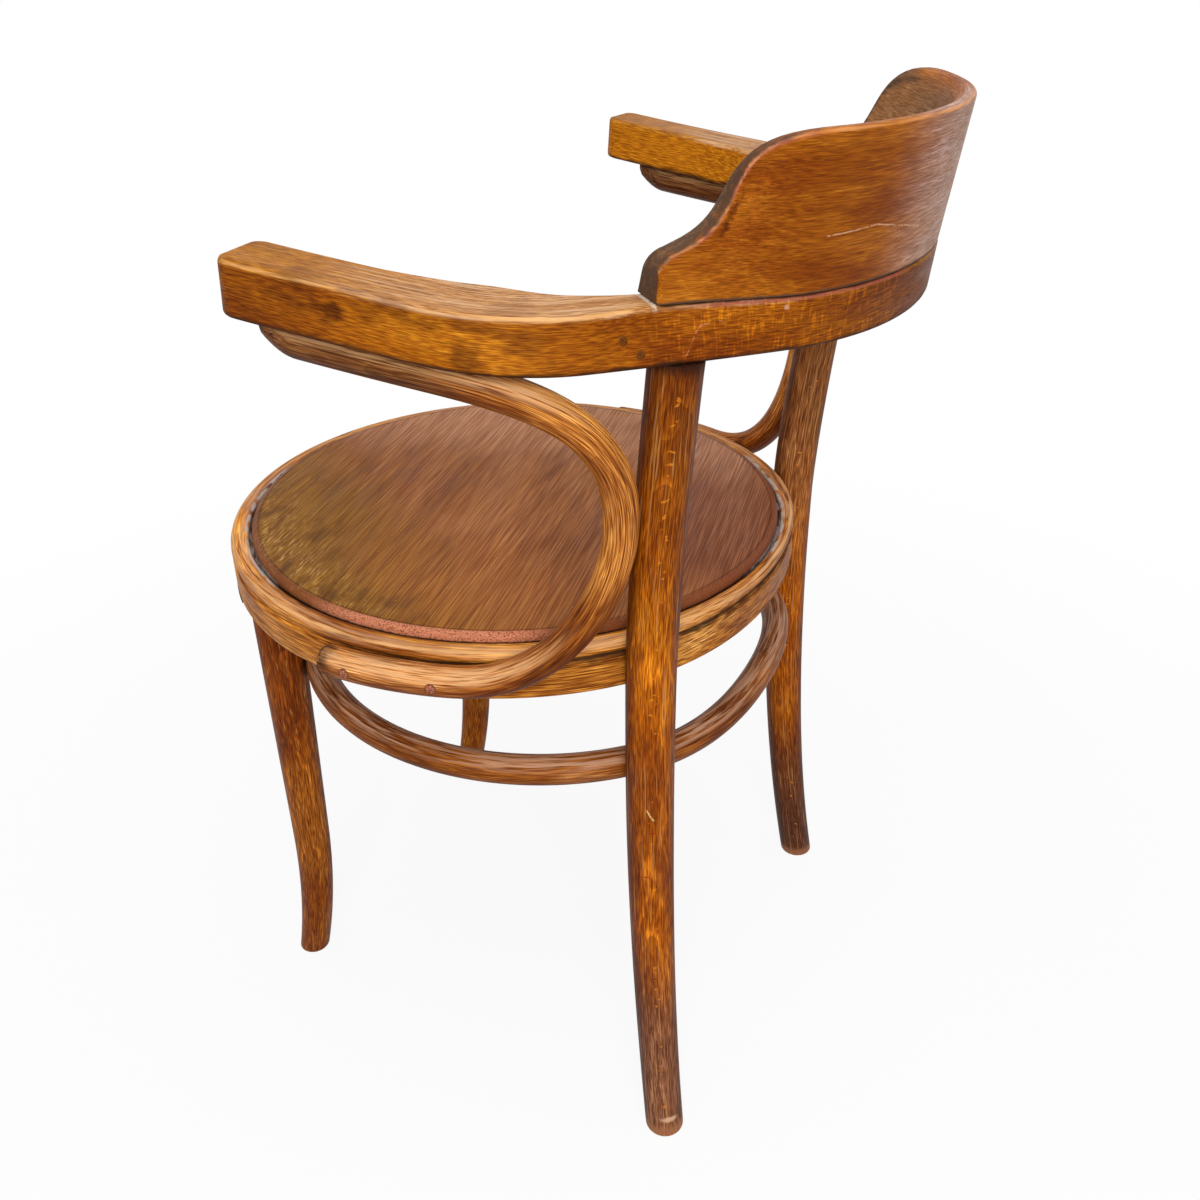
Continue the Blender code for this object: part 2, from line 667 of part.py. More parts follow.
def rod_rings(path, radius):
    """Rings square to a path, each turned as little as possible from the one before."""
    before = path[:1] + path[:-1]
    after = path[1:] + path[-1:]
    headings = [(ahead - behind).normalized() for behind, ahead in zip(before, after)]
    across = Vector((0, 0, 1)).cross(headings[0]).normalized()
    rings = []
    for point, heading in zip(path, headings):
        across = (across - heading * across.dot(heading)).normalized()
        upward = heading.cross(across)
        angles = [math.tau * i / ROD_SIDES for i in range(ROD_SIDES)]
        rings.append([point + across * radius * math.cos(a) + upward * radius * math.sin(a) for a in angles])
    return rings


def scaled_ring(ring, share, offset):
    centre = sum(ring, Vector()) / len(ring)
    return [centre + (point - centre) * share + offset for point in ring]


def make_support(shop, side, name):
    """The front end thins upwards against the arm, and the lower end is domed."""
    front = SUPPORT_FRONTS[side]
    path = support_path(side)
    rings = rod_rings(path, SUPPORT_RADIUS)
    tip = []
    for share in SUPPORT_TIP_SHARES:
        radius = SUPPORT_RADIUS * mix(SUPPORT_TIP, 1.0, math.sin(share * math.pi / 2))
        centre = support_under_arm(front + SUPPORT_TAPER * share, radius)
        tip.append(scaled_ring(rings[0], radius / SUPPORT_RADIUS, centre - path[0]))
    forward = (path[-1] - path[-2]).normalized()
    dome = []
    for turn in DOME_TURNS:
        angle = math.radians(turn)
        dome.append(scaled_ring(rings[-1], math.cos(angle), forward * SUPPORT_DOME * math.sin(angle)))
    skin = tip + rings + dome
    return shop.loft(name, [[on_side(side, point) for point in ring] for ring in skin], "rod_wood")


def screw_profile(length, grow=0.0, reach=0.0):
    """A countersunk screw from its point to its head. Grown, with reach past the head, it is the hole."""
    neck = length - SCREW_HEAD_HEIGHT - grow
    return [
        (0.0, -grow),
        (SCREW_RADIUS + grow, SCREW_POINT),
        (SCREW_RADIUS + grow, neck),
        (SCREW_HEAD_RADIUS + grow, neck + SCREW_HEAD_HEIGHT),
        (SCREW_HEAD_RADIUS + grow, length + reach),
        (0.0, length + reach),
    ]


def pin_profile(radius, length, chamfer, grow=0.0):
    return [
        (0.0, -grow),
        (radius - chamfer + grow, -grow),
        (radius + grow, chamfer - grow),
        (radius + grow, length - chamfer + grow),
        (radius - chamfer + grow, length + grow),
        (0.0, length + grow),
    ]


def make_screw(shop, name, head, direction, length, hosts, reach=SCREW_HEAD_RADIUS):
    """A screw driven from its head's face along direction, and its hole in every piece that it passes."""
    point = head + direction * length
    shop.fastener(name, screw_profile(length), point, -direction, "steel")
    hole = shop.fastener(name + "_hole", screw_profile(length, GAP, reach), point, -direction)
    shop.cut(hole, *hosts)


def make_support_fasteners(shop, side, label, support, ring, bow):
    """Screws into the ring, hidden by plugs, and screws up into the arm."""
    for number, angle in enumerate(SUPPORT_RING_SCREW_ANGLES, 1):
        inward = on_side(side, -around(1.0, angle))
        surface = on_side(side, around(SUPPORT_RING_RADIUS + SUPPORT_RADIUS, angle, SUPPORT_LOW))
        plug_end = surface + inward * PLUG_RECESS
        head = plug_end + inward * (PLUG_LENGTH + GAP)
        length = 2 * SUPPORT_RADIUS - SUPPORT_FLAT - PLUG_RECESS - PLUG_LENGTH + SCREW_BITE
        reach = PLUG_LENGTH + SUPPORT_RADIUS
        make_screw(shop, f"ring_screw_{label}_{number}", head, inward, length, (support, ring), reach)
        plug = pin_profile(SCREW_HEAD_RADIUS, PLUG_LENGTH, PLUG_RECESS)
        shop.fastener(f"support_plug_{label}_{number}", plug, plug_end, inward, "plug_wood")
    for number, place in enumerate(SUPPORT_ARM_SCREW_PLACES, 1):
        centre = on_side(side, support_under_arm(place, SUPPORT_RADIUS))
        head = centre - Vector((0, 0, SUPPORT_RADIUS - SCREW_HEAD_HEIGHT))
        length = 2 * SUPPORT_RADIUS - SCREW_HEAD_HEIGHT + SCREW_BITE
        make_screw(shop, f"arm_screw_{label}_{number}", head, Vector((0, 0, 1)), length, (support, bow))


def make_tenon_hole(shop, name, base, radius, length, host):
    """The hole for a leg's tenon, turned like the tenon so that the space round it is even."""
    low = base - Vector((0, 0, length / 2))
    high = base + Vector((0, 0, length + GAP))
    shop.cut(shop.loft(name, [circle(low, radius + GAP), circle(high, radius + GAP)]), host)


def make_post_bolt(shop, side, label, post, ring):
    """A bolt with a washer, from inside the ring out into the rear leg."""
    outward = on_side(side, around(1.0, POST_ANGLE))
    flat = RING_INNER * math.cos(math.pi / RING_STEPS)
    seat = on_side(side, around(flat, POST_ANGLE, RING_BOTTOM + (RING_LEDGE - RING_BOTTOM) / 2))
    washer_face = seat - outward * (GAP + WASHER_THICKNESS)
    washer = [
        (BOLT_RADIUS + GAP, 0.0),
        (WASHER_RADIUS, 0.0),
        (WASHER_RADIUS, WASHER_THICKNESS),
        (BOLT_RADIUS + GAP, WASHER_THICKNESS),
    ]
    piece = shop.hoop(f"post_washer_{label}", lambda angle: washer, ROD_SIDES, "steel")
    piece.location = washer_face
    piece.rotation_euler = outward.to_track_quat("Z", "Y").to_euler()
    head_end = washer_face - outward * (GAP + BOLT_HEAD_HEIGHT)
    shank = BOLT_HEAD_HEIGHT + WASHER_THICKNESS + 2 * GAP + SEAT_RING_WIDTH + BOLT_BITE

    def bolt(grow):
        return [
            (0.0, 0.0),
            (BOLT_HEAD_RADIUS + grow, 0.0),
            (BOLT_HEAD_RADIUS + grow, BOLT_HEAD_HEIGHT),
            (BOLT_RADIUS + grow, BOLT_HEAD_HEIGHT),
            (BOLT_RADIUS + grow, shank + grow),
            (0.0, shank + grow),
        ]

    shop.fastener(f"post_bolt_{label}", bolt(0.0), head_end, outward, "steel")
    shop.cut(shop.fastener(f"post_bolt_{label}_hole", bolt(GAP), head_end, outward), post, ring)


def make_foot_ring_screws(shop, side, label, foot_ring, legs):
    """One screw from inside the foot ring into each leg of a side."""
    middle, radius = foot_ring_plan()
    centre = Vector((0.0, middle, FOOT_RING_HEIGHT))
    for end, (leg, place) in legs.items():
        outward = (on_side(side, place) - centre).normalized()
        head = centre + outward * (radius - FOOT_RING_TUBE + SCREW_HEAD_HEIGHT)
        length = 2 * FOOT_RING_TUBE - SCREW_HEAD_HEIGHT + SCREW_BITE
        make_screw(shop, f"foot_ring_screw_{end}_{label}", head, outward, length, (foot_ring, leg))


def make_bow_pins(shop, side, label, bow):
    """Two pins let into the bow's outer face, each a way in front of the post."""
    for number, (ahead, drop) in enumerate(PIN_PLACES, 1):
        place = post_station() - ahead
        face = bow_point(place, face_slant(place) * (1 - drop), -drop * BOW_THICKNESS)
        inward = on_side(side, bow_inward(place))
        start = on_side(side, face) - inward * PLUG_RECESS
        name = f"bow_pin_{label}_{number}"
        shop.fastener(name, pin_profile(PIN_RADIUS, PIN_LENGTH, PLUG_RECESS), start, inward, "plug_wood")
        hole = pin_profile(PIN_RADIUS, PIN_LENGTH + PIN_RADIUS, PLUG_RECESS, GAP)
        shop.cut(shop.fastener(name + "_hole", hole, start - inward * PIN_RADIUS, inward), bow)


def make_dowels(shop, side, label, bow, backrest):
    """Dowels that hold the backrest on the bow."""
    length = DOWEL_IN_BOW + DOWEL_IN_BACKREST
    for number, place in enumerate(DOWEL_PLACES, 1):
        distance = BOW_HALF - place
        inward = face_slant(distance) + BACKREST_FOOT_THICKNESS / 2
        start = on_side(side, bow_point(distance, inward, -DOWEL_IN_BOW))
        up = Vector((0, 0, 1))
        name = f"backrest_dowel_{label}_{number}"
        shop.fastener(name, pin_profile(DOWEL_RADIUS, length, DOWEL_CHAMFER), start, up, "dowel_wood")
        hole = pin_profile(DOWEL_RADIUS, length, DOWEL_CHAMFER, GAP)
        shop.cut(shop.fastener(name + "_hole", hole, start, up), bow, backrest)


def make_panel_screws(shop, ring, panel):
    """Screws from under the ring up into the seat panel."""
    radius = (RING_INNER + PANEL_RADIUS) / 2
    head_height = RING_BOTTOM + SCREW_HEAD_HEIGHT
    length = SEAT_HEIGHT - PANEL_SCREW_COVER - head_height
    for number, angle in enumerate(PANEL_SCREW_ANGLES, 1):
        head = around(radius, angle, head_height)
        make_screw(shop, f"panel_screw_{number}", head, Vector((0, 0, 1)), length, (ring, panel))


def ring_envelope(shop):
    """The ring's outer cylinder, which leaves a seat for it in the pieces that lie against it."""
    radius = SEAT_RING_RADIUS + GAP
    low, high = RING_BOTTOM - GAP, RING_TOP + GAP
    return shop.spin("ring_envelope", [(0.0, low), (radius, low), (radius, high), (0.0, high)], RING_STEPS)


def build():
    shop = Workshop()
    ring = make_seat_ring(shop)
    panel = make_seat_panel(shop)
    foot_ring = make_foot_ring(shop, "foot_ring", material="rod_wood")
    bow = make_bow(shop)
    backrest = make_backrest(shop)
    make_panel_screws(shop, ring, panel)
    envelope = ring_envelope(shop)
    foot_ring_room = make_foot_ring(shop, "foot_ring_room", GAP)
    leg_top = leg_centre(RING_BOTTOM)
    for side, label in ((1, "left"), (-1, "right")):
        post = make_post(shop, side, f"rear_leg_{label}")
        leg = make_leg(shop, side, f"front_leg_{label}")
        support = make_support(shop, side, f"arm_support_{label}")
        shop.cut(envelope, post, support)
        shop.cut(foot_ring_room, post, leg)
        make_tenon_hole(shop, f"post_tenon_hole_{label}", on_side(side, post_top()),
                        POST_TENON_RADIUS, POST_TENON_LENGTH, bow)
        make_tenon_hole(shop, f"leg_tenon_hole_{label}", on_side(side, leg_top),
                        LEG_TENON_RADIUS, LEG_TENON_LENGTH, ring)
        make_post_bolt(shop, side, label, post, ring)
        legs = {"rear": (post, post_centre(FOOT_RING_HEIGHT)), "front": (leg, leg_centre(FOOT_RING_HEIGHT))}
        make_foot_ring_screws(shop, side, label, foot_ring, legs)
        make_support_fasteners(shop, side, label, support, ring, bow)
        make_bow_pins(shop, side, label, bow)
        make_dowels(shop, side, label, bow, backrest)
    shop.centre()


build()
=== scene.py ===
"""Looks of the bentwood bistro armchair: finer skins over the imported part's wood, finished as worn,
shellacked beech whose grain runs along each bent piece, on a pale studio floor.

Metres, +Z up, in the row frame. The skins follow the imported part's own driving sizes, which are laid out
about the seat's vertical axis. Each point of a skin also keeps its place in the straight blank that the
piece was bent from, as (across, up, along), and the grain is drawn there.
"""

import math
from collections import namedtuple

import bmesh
import bpy
from mathutils import Matrix, Vector


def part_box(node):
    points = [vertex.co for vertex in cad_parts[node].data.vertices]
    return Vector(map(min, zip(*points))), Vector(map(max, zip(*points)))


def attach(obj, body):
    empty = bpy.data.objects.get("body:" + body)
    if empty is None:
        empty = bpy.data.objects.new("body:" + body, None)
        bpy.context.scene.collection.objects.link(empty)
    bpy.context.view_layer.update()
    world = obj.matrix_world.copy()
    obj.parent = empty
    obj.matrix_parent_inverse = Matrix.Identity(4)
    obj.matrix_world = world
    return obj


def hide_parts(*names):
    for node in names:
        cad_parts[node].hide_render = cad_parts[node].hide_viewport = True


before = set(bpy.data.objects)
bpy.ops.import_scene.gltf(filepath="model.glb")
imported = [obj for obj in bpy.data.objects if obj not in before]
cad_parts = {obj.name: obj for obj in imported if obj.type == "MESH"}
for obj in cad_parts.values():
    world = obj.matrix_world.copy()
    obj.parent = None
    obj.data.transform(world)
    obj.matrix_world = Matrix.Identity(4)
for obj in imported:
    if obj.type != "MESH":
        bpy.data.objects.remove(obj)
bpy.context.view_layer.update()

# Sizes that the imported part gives.
PANEL_LOW, PANEL_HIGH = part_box("seat_panel")
RING_LOW, RING_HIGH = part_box("seat_ring")
FOOT_LOW, FOOT_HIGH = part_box("foot_ring")
SEAT_AXIS = Vector((0.0, (PANEL_LOW.y + PANEL_HIGH.y) / 2, 0.0))
SEAT_HEIGHT = PANEL_HIGH.z
PANEL_BOTTOM = PANEL_LOW.z
PANEL_RADIUS = (PANEL_HIGH.x - PANEL_LOW.x) / 2
RING_RADIUS = (RING_HIGH.x - RING_LOW.x) / 2
RING_TOP = RING_HIGH.z
RING_BOTTOM = RING_LOW.z
RING_MIDDLE = (RING_TOP + RING_BOTTOM) / 2
FOOT_RING_TUBE = (FOOT_HIGH.z - FOOT_LOW.z) / 2
FOOT_RING_RADIUS = (FOOT_HIGH.x - FOOT_LOW.x) / 2 - FOOT_RING_TUBE
FOOT_RING_CENTRE = Vector((0.0, FOOT_LOW.y + FOOT_RING_TUBE + FOOT_RING_RADIUS - SEAT_AXIS.y,
                           FOOT_LOW.z + FOOT_RING_TUBE))

# Seat ring, foot ring and panel.
RING_WIDTH = 0.0495
RING_BEAD = 0.010
RING_LIP = 0.014
RING_FLAT = 0.006
BEAD_TURNS = (math.radians(-60), math.radians(90))
BEAD_RUBBED_AND_HIGHLIGHT = math.radians(55)
GROOVE_WORN_AT = math.radians(300)
FOOT_RING_FLAT = 0.012
FLAT_FROM = math.radians(48)
PANEL_EDGE_ROUND = 0.005
PANEL_GRAIN = math.radians(10)

# Rear legs.
POST_ANGLE = math.radians(50)
POST_FOOT_RADIUS = 0.0153
POST_WAIST_RADIUS = 0.0172
POST_TOP_RADIUS = 0.0163
POST_FOOT_SPLAY = 0.0385
POST_SPLAY_POWER = 2.2
POST_RISE_POWER = 1.5
POST_NOTCH = 0.0023
POST_TAPER_TOP = 0.32
POST_RING_RADIUS = RING_RADIUS + POST_WAIST_RADIUS - POST_NOTCH

# Front legs.
LEG_ANGLE = math.radians(-44.66)
LEG_TOP_RADIUS = 0.019
LEG_FOOT_RADIUS = 0.0135
LEG_INSET = 0.0251
LEG_LEAN = 0.005
LEG_FOOT_SPLAY = 0.0177
LEG_SPLAY_HEIGHT = 0.15

# Bow.
ARM_SPAN = 0.549
ARM_FRONT = -0.0275
ARM_TOE_IN = 0.067
ARM_STRAIGHT = 0.1252
ELBOW_RADIUS = 0.1135
ELBOW_ANGLE = math.radians(46)
QUARTER_STRAIGHT = 0.1161
BOW_THICKNESS = 0.0325
BOW_BACK_HEIGHT = 0.6751
ARM_RISE = 0.0267
ARM_RISE_POWER = 1.6
ARM_WIDTH = 0.0435
ARM_SWELL_FROM = 0.075
ARM_SWELL_TO = 0.155
ELBOW_WIDTH = 0.051
RAIL_WIDTH = 0.029
SHOULDER_SLANT = 0.005
BACK_FLARE = 0.0025
ARM_END_ROUND = 0.012
ARM_END_RAKE = 0.003
BOW_EDGE = 0.0035

# Backrest.
BACKREST_HALF_LENGTH = 0.223
BACKREST_HEIGHT = 0.0875
BACKREST_SHOULDER = 0.0256
BACKREST_LEAN = math.radians(7.5)
BACKREST_FOOT_THICKNESS = 0.026
BACKREST_TOP_THICKNESS = 0.012
BACKREST_HOLLOW = 1.6
BACKREST_OUTER_EDGE = 0.003
BACKREST_INNER_EDGE = 0.007
BACKREST_END_EDGE = 0.0025
SHOULDER_ROUND = 0.009
OGEE_LENGTH = 0.0963
OGEE_START_SLOPE = 0.25
OGEE_START_SHARE = 0.66
OGEE_END_SHARE = 0.89

# Arm supports.
SUPPORT_RADIUS = 0.011
SUPPORT_INSET = 0.0215
SUPPORT_FRONTS = {1: 0.013, -1: 0.026}
SUPPORT_TAPER = 0.026
SUPPORT_TIP = 0.45
SUPPORT_NOSE = 0.005
SUPPORT_LEAVES_ARM = 0.1175
SUPPORT_POST_SIDE = math.radians(-34)
SUPPORT_POST_GAP = 0.0006
SUPPORT_POST_SHARE = 0.52
SUPPORT_MEETS_RING = {1: math.radians(18.6), -1: math.radians(21.5)}
SUPPORT_RING_END = math.radians(-3.3)
SUPPORT_FLAT = 0.0014
SUPPORT_DOME = 0.009
SUPPORT_HEIGHT_ON_RING = 0.0204
SUPPORT_LOW = RING_BOTTOM + SUPPORT_HEIGHT_ON_RING
SUPPORT_RING_RADIUS = RING_RADIUS + SUPPORT_RADIUS - SUPPORT_FLAT
UPPER_BEND_HANDLES = (0.66, 0.65)
LOWER_BEND_HANDLES = (0.42, 0.60)

# Plugs over the support screws, and pins in the bow.
PLUG_RADIUS = 0.004
PLUG_ANGLES = (math.radians(1.0), math.radians(15.4))
PIN_RADIUS = 0.003
PIN_PLACES = ((0.039, 0.48), (0.029, 0.74))
PLUG_PROUD = 0.0002
PLUG_DEPTH = 0.0012

# Space between pieces, small eased edges, and how finely the skins are cut up.
GAP = 0.0003
EDGE = 0.002
WELD = 1e-6
SOLVER_ROUNDS = 60
STATION_STEP = 0.005
RING_STEPS = 192
FOOT_RING_SIDES = 28
ROD_SIDES = 40
CORNER_STEPS = 6
WIDE_CORNER_STEPS = 8
ARM_END_STEPS = 10
BACKREST_INNER_STEPS = 10
OGEE_STEPS = 24
POST_STEPS = 90
LEG_STEPS = 60
SUPPORT_TIP_STEPS = 12
SUPPORT_ARM_STEPS = 14
SUPPORT_BEND_STEPS = 36
SUPPORT_RING_STEPS = 18
DOME_STEPS = 8
DOME_END = 0.49 * math.pi
BEAD_STEPS = 14
FLAT_SHARES = (0.06, 0.16, 0.34, 0.5, 0.66, 0.84, 0.94)
PANEL_RINGS = 36
PANEL_CENTRE = 0.001
PLUG_RINGS = 6
PLUG_SIDES = 28
SMOOTH_BELOW = math.radians(38)

# How strong wear and grime are, together with the painted highlights and painted shade that they also carry,
# and how far they reach from edges and joints.
ARM_EDGE_WEAR_AND_HIGHLIGHT = (0.75, 0.95)
ARM_INNER_EDGE_WEAR_AND_HIGHLIGHT = 0.6
ARM_LOW_EDGE_WEAR = 0.3
ELBOW_WEAR_AND_HIGHLIGHT_FROM = (0.10, 0.16)
ELBOW_WEAR_AND_HIGHLIGHT_END = 0.24
UNDERSIDE_SHADE = 0.7
UNDERSIDE_FROM = 0.8 * BOW_THICKNESS
BACKREST_GRIME = 0.003
TOP_EDGE_GRIME = 0.002
BACKREST_SEAM = (0.0, 0.0006, 0.0012, 0.0024)
BACKREST_SEAM_GRIME = 0.0022
BACKREST_START_GRIME = 0.85
BACKREST_INNER_GRIME = 0.2
BACKREST_INNER_EDGE_WEAR = 0.3
END_GRAIN_GRIME = 0.75
END_GRAIN_FADES = (0.6 * OGEE_LENGTH, 1.1 * OGEE_LENGTH)
BEAD_RUBBED_AND_HIGHLIGHT_REACH = math.radians(35)
GROOVE_GRIME = (0.0, math.radians(-55))
GROOVE_WORN_REACH = (math.radians(45), math.radians(80))
GROOVE_WORN_GRIME = 0.2
FOOT_WEAR = 0.006
LEG_TOP_GRIME = 0.8
LEG_TOP_GRIME_REACH = 0.014
FOOT_RING_GRIME = (0.007, 0.001)
ARM_JOINT_GRIME_AND_SHADE = (-0.006, -0.001)
ARM_JOINT_GRIME_AND_SHADE_ENDS = (0.10, 0.15)
RING_SEAM_GRIME_AND_SHADE = 0.005
RING_SEAM_GRIME_AND_SHADE_HEIGHTS = (RING_TOP + 0.02, RING_TOP - 0.01)
TIP_SHADE = 0.6
TIP_SHADE_FROM = 0.026
TIP_SHADE_TO = 0.008

# Camera, about the seat's axis, as the photograph was taken.
CAMERA_PLACE = Vector((0.75741, 0.43582, 0.86276))
CAMERA_YAW = -2.01644
CAMERA_PITCH = -0.53475
CAMERA_ROLL = -0.008154
CAMERA_SENSOR = 36.0
CAMERA_FOCAL_PIXELS = 1179.21
PHOTO_PIXELS = 1200

Spot = namedtuple("Spot", "place blank wear grime", defaults=(0.0, 0.0))


def smooth_step(value, start, end):
    share = min(1.0, max(0.0, (value - start) / (end - start)))
    return share * share * (3 - 2 * share)


def mix(first, second, share):
    return first + (second - first) * share


def steps(first, last, count):
    """Evenly spaced values, both ends included."""
    return [mix(first, last, i / count) for i in range(count + 1)]


def turns(count):
    """Evenly spaced angles once round."""
    return [math.tau * i / count for i in range(count)]


def bezier(p0, p1, p2, p3, share):
    rest = 1 - share
    return p0 * rest**3 + p1 * 3 * rest**2 * share + p2 * 3 * rest * share**2 + p3 * share**3


def round_off(radius, distance):
    """How far a quarter-round of this radius still falls back at a distance from its start."""
    short = max(0.0, radius - distance)
    return radius - math.sqrt(radius**2 - short**2)


def around(radius, angle, height=0.0):
    """The point at an angle about the seat's axis."""
    return Vector((radius * math.cos(angle), radius * math.sin(angle), height))


def quarter_steps(radius, count):
    """Distances from its start at which a quarter-round is cut up."""
    return [radius * (1 - math.cos(math.pi / 2 * share)) for share in steps(0.0, 1.0, count)]


def to_side(side, point):
    """A point of a left-hand piece, carried to this side."""
    return Vector((side * point.x, point.y, point.z))


def on_side(side, spots):
    return [spot._replace(place=to_side(side, spot.place)) for spot in spots]


def add_piece(name, bm, nodes):
    """A smooth mesh that rides on the chair and stands for these nodes."""
    bmesh.ops.recalc_face_normals(bm, faces=bm.faces)
    mesh = bpy.data.meshes.new(name)
    bm.to_mesh(mesh)
    bm.free()
    mesh.shade_smooth()
    mesh.set_sharp_from_angle(angle=SMOOTH_BELOW)
    piece = bpy.data.objects.new(name, mesh)
    bpy.context.scene.collection.objects.link(piece)
    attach(piece, "root")
    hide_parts(*nodes)
    return piece


def skin(name, rings, nodes, closed=False):
    """A piece whose skin joins rings of equally many spots. A closed one ends with its first ring again."""
    bm = bmesh.new()
    blank = bm.loops.layers.float_vector.new("blank")
    wear = bm.verts.layers.float.new("wear")
    grime = bm.verts.layers.float.new("grime")
    loops = []
    for ring in rings:
        loop = [bm.verts.new(spot.place + SEAT_AXIS) for spot in ring]
        for vert, spot in zip(loop, ring):
            vert[wear] = spot.wear
            vert[grime] = spot.grime
        loops.append(loop)

    def face(corners):
        made = bm.faces.new([loops[row][column] for row, column in corners])
        for corner, (row, column) in zip(made.loops, corners):
            corner[blank] = rings[row][column].blank

    count = len(rings[0])
    last = len(rings) - 1
    for row in range(last):
        for column in range(count):
            before = (column - 1) % count
            face(((row, before), (row, column), (row + 1, column), (row + 1, before)))
    if closed:
        bmesh.ops.remove_doubles(bm, verts=bm.verts, dist=WELD)
    else:
        face([(0, column) for column in range(count)])
        face([(last, column) for column in range(count)])
    return add_piece(name, bm, nodes)


# The bow's outer edge in plan, from an arm's front end to the middle of the back.
ELBOW_LENGTH = ELBOW_RADIUS * ELBOW_ANGLE
BACK_ANGLE = math.pi / 2 - ARM_TOE_IN - ELBOW_ANGLE


def advance(x, y, heading, length, curvature):
    """Where a run of constant curvature ends."""
    turned = heading + length * curvature
    if curvature == 0:
        return x + length * math.cos(heading), y + length * math.sin(heading), turned
    across = (math.sin(turned) - math.sin(heading)) / curvature
    along = (math.cos(heading) - math.cos(turned)) / curvature
    return x + across, y + along, turned


def run_along(runs, distance):
    """Plan point and heading at a distance along the runs, from the arm's front end."""
    x, y, heading = ARM_SPAN / 2, ARM_FRONT, math.pi / 2 + ARM_TOE_IN
    for length, curvature in runs:
        step = min(length, distance)
        x, y, heading = advance(x, y, heading, step, curvature)
        distance -= step
    return x, y, heading


SIDE_RUNS = ((ARM_STRAIGHT, 0.0), (ELBOW_LENGTH, 1 / ELBOW_RADIUS), (QUARTER_STRAIGHT, 0.0))
SIDE_LENGTH = ARM_STRAIGHT + ELBOW_LENGTH + QUARTER_STRAIGHT
BACK_RADIUS = run_along(SIDE_RUNS, SIDE_LENGTH)[0] / math.sin(BACK_ANGLE)
BACK_LENGTH = BACK_RADIUS * BACK_ANGLE
BOW_RUNS = (*SIDE_RUNS, (BACK_LENGTH, 1 / BACK_RADIUS))
BOW_HALF = SIDE_LENGTH + BACK_LENGTH
BOW_BACK = run_along(BOW_RUNS, BOW_HALF)[1]
BACKREST_END = BOW_HALF - BACKREST_HALF_LENGTH


def bow_top(y):
    """Height of the bow's upper face. The arms rise towards the front."""
    share = max(0.0, (BOW_BACK - y) / (BOW_BACK - ARM_FRONT))
    return BOW_BACK_HEIGHT + ARM_RISE * share**ARM_RISE_POWER


def bow_point(distance, inward, height=0.0):
    """A point a way in from the outer edge, with its height above the bow's upper face there."""
    x, y, heading = run_along(BOW_RUNS, distance)
    x -= inward * math.sin(heading)
    y += inward * math.cos(heading)
    return Vector((x, y, bow_top(y) + height))


def bow_width(distance):
    """The arm swells at the elbow and then narrows to the rail under the backrest."""
    arm = mix(ARM_WIDTH, ELBOW_WIDTH, smooth_step(distance, ARM_SWELL_FROM, ARM_SWELL_TO))
    return mix(arm, RAIL_WIDTH, smooth_step(distance, ARM_SWELL_TO, BACKREST_END))


def face_slant(distance):
    """How far in the outer face's top edge lies: in at the backrest's ends, and out along the back."""
    slant = SHOULDER_SLANT * smooth_step(distance, BACKREST_END - OGEE_LENGTH / 2, BACKREST_END)
    return mix(slant, -BACK_FLARE, smooth_step(distance, BACKREST_END, BACKREST_END + OGEE_LENGTH))


def stations(first, last):
    return steps(first, last, max(1, round((last - first) / STATION_STEP)))


def both_halves(half):
    """Rings of one half, from its end to the middle, carried on over the other half of the blank."""
    other = []
    for ring in half[-2::-1]:
        turned = []
        for spot in ring:
            beyond = Vector((0, 0, 2 * (BOW_HALF - spot.blank.z)))
            turned.append(spot._replace(blank=spot.blank + beyond))
        other.append(on_side(-1, turned))
    return half + other


def corner_arc(centre_u, centre_h, radius, first_angle):
    """Points that round one corner of a section."""
    angles = steps(first_angle, first_angle + math.pi / 2, CORNER_STEPS)
    return [(centre_u + radius * math.cos(angle), centre_h + radius * math.sin(angle)) for angle in angles]


def filled_section(arcs):
    """(across, up, wear and painted highlight) round a section from the arcs of its rounded corners, each
    with its wear and painted highlight.
    """
    section = []
    for (points, wear), (next_points, _) in zip(arcs, arcs[1:] + arcs[:1]):
        for (u, h), share in zip(points, steps(0.0, math.pi, len(points) - 1)):
            section.append((u, h, wear * math.sin(share)))
        (u0, h0), (u1, h1) = points[-1], next_points[0]
        section += [(mix(u0, u1, share), mix(h0, h1, share), 0.0) for share in FLAT_SHARES]
    return section


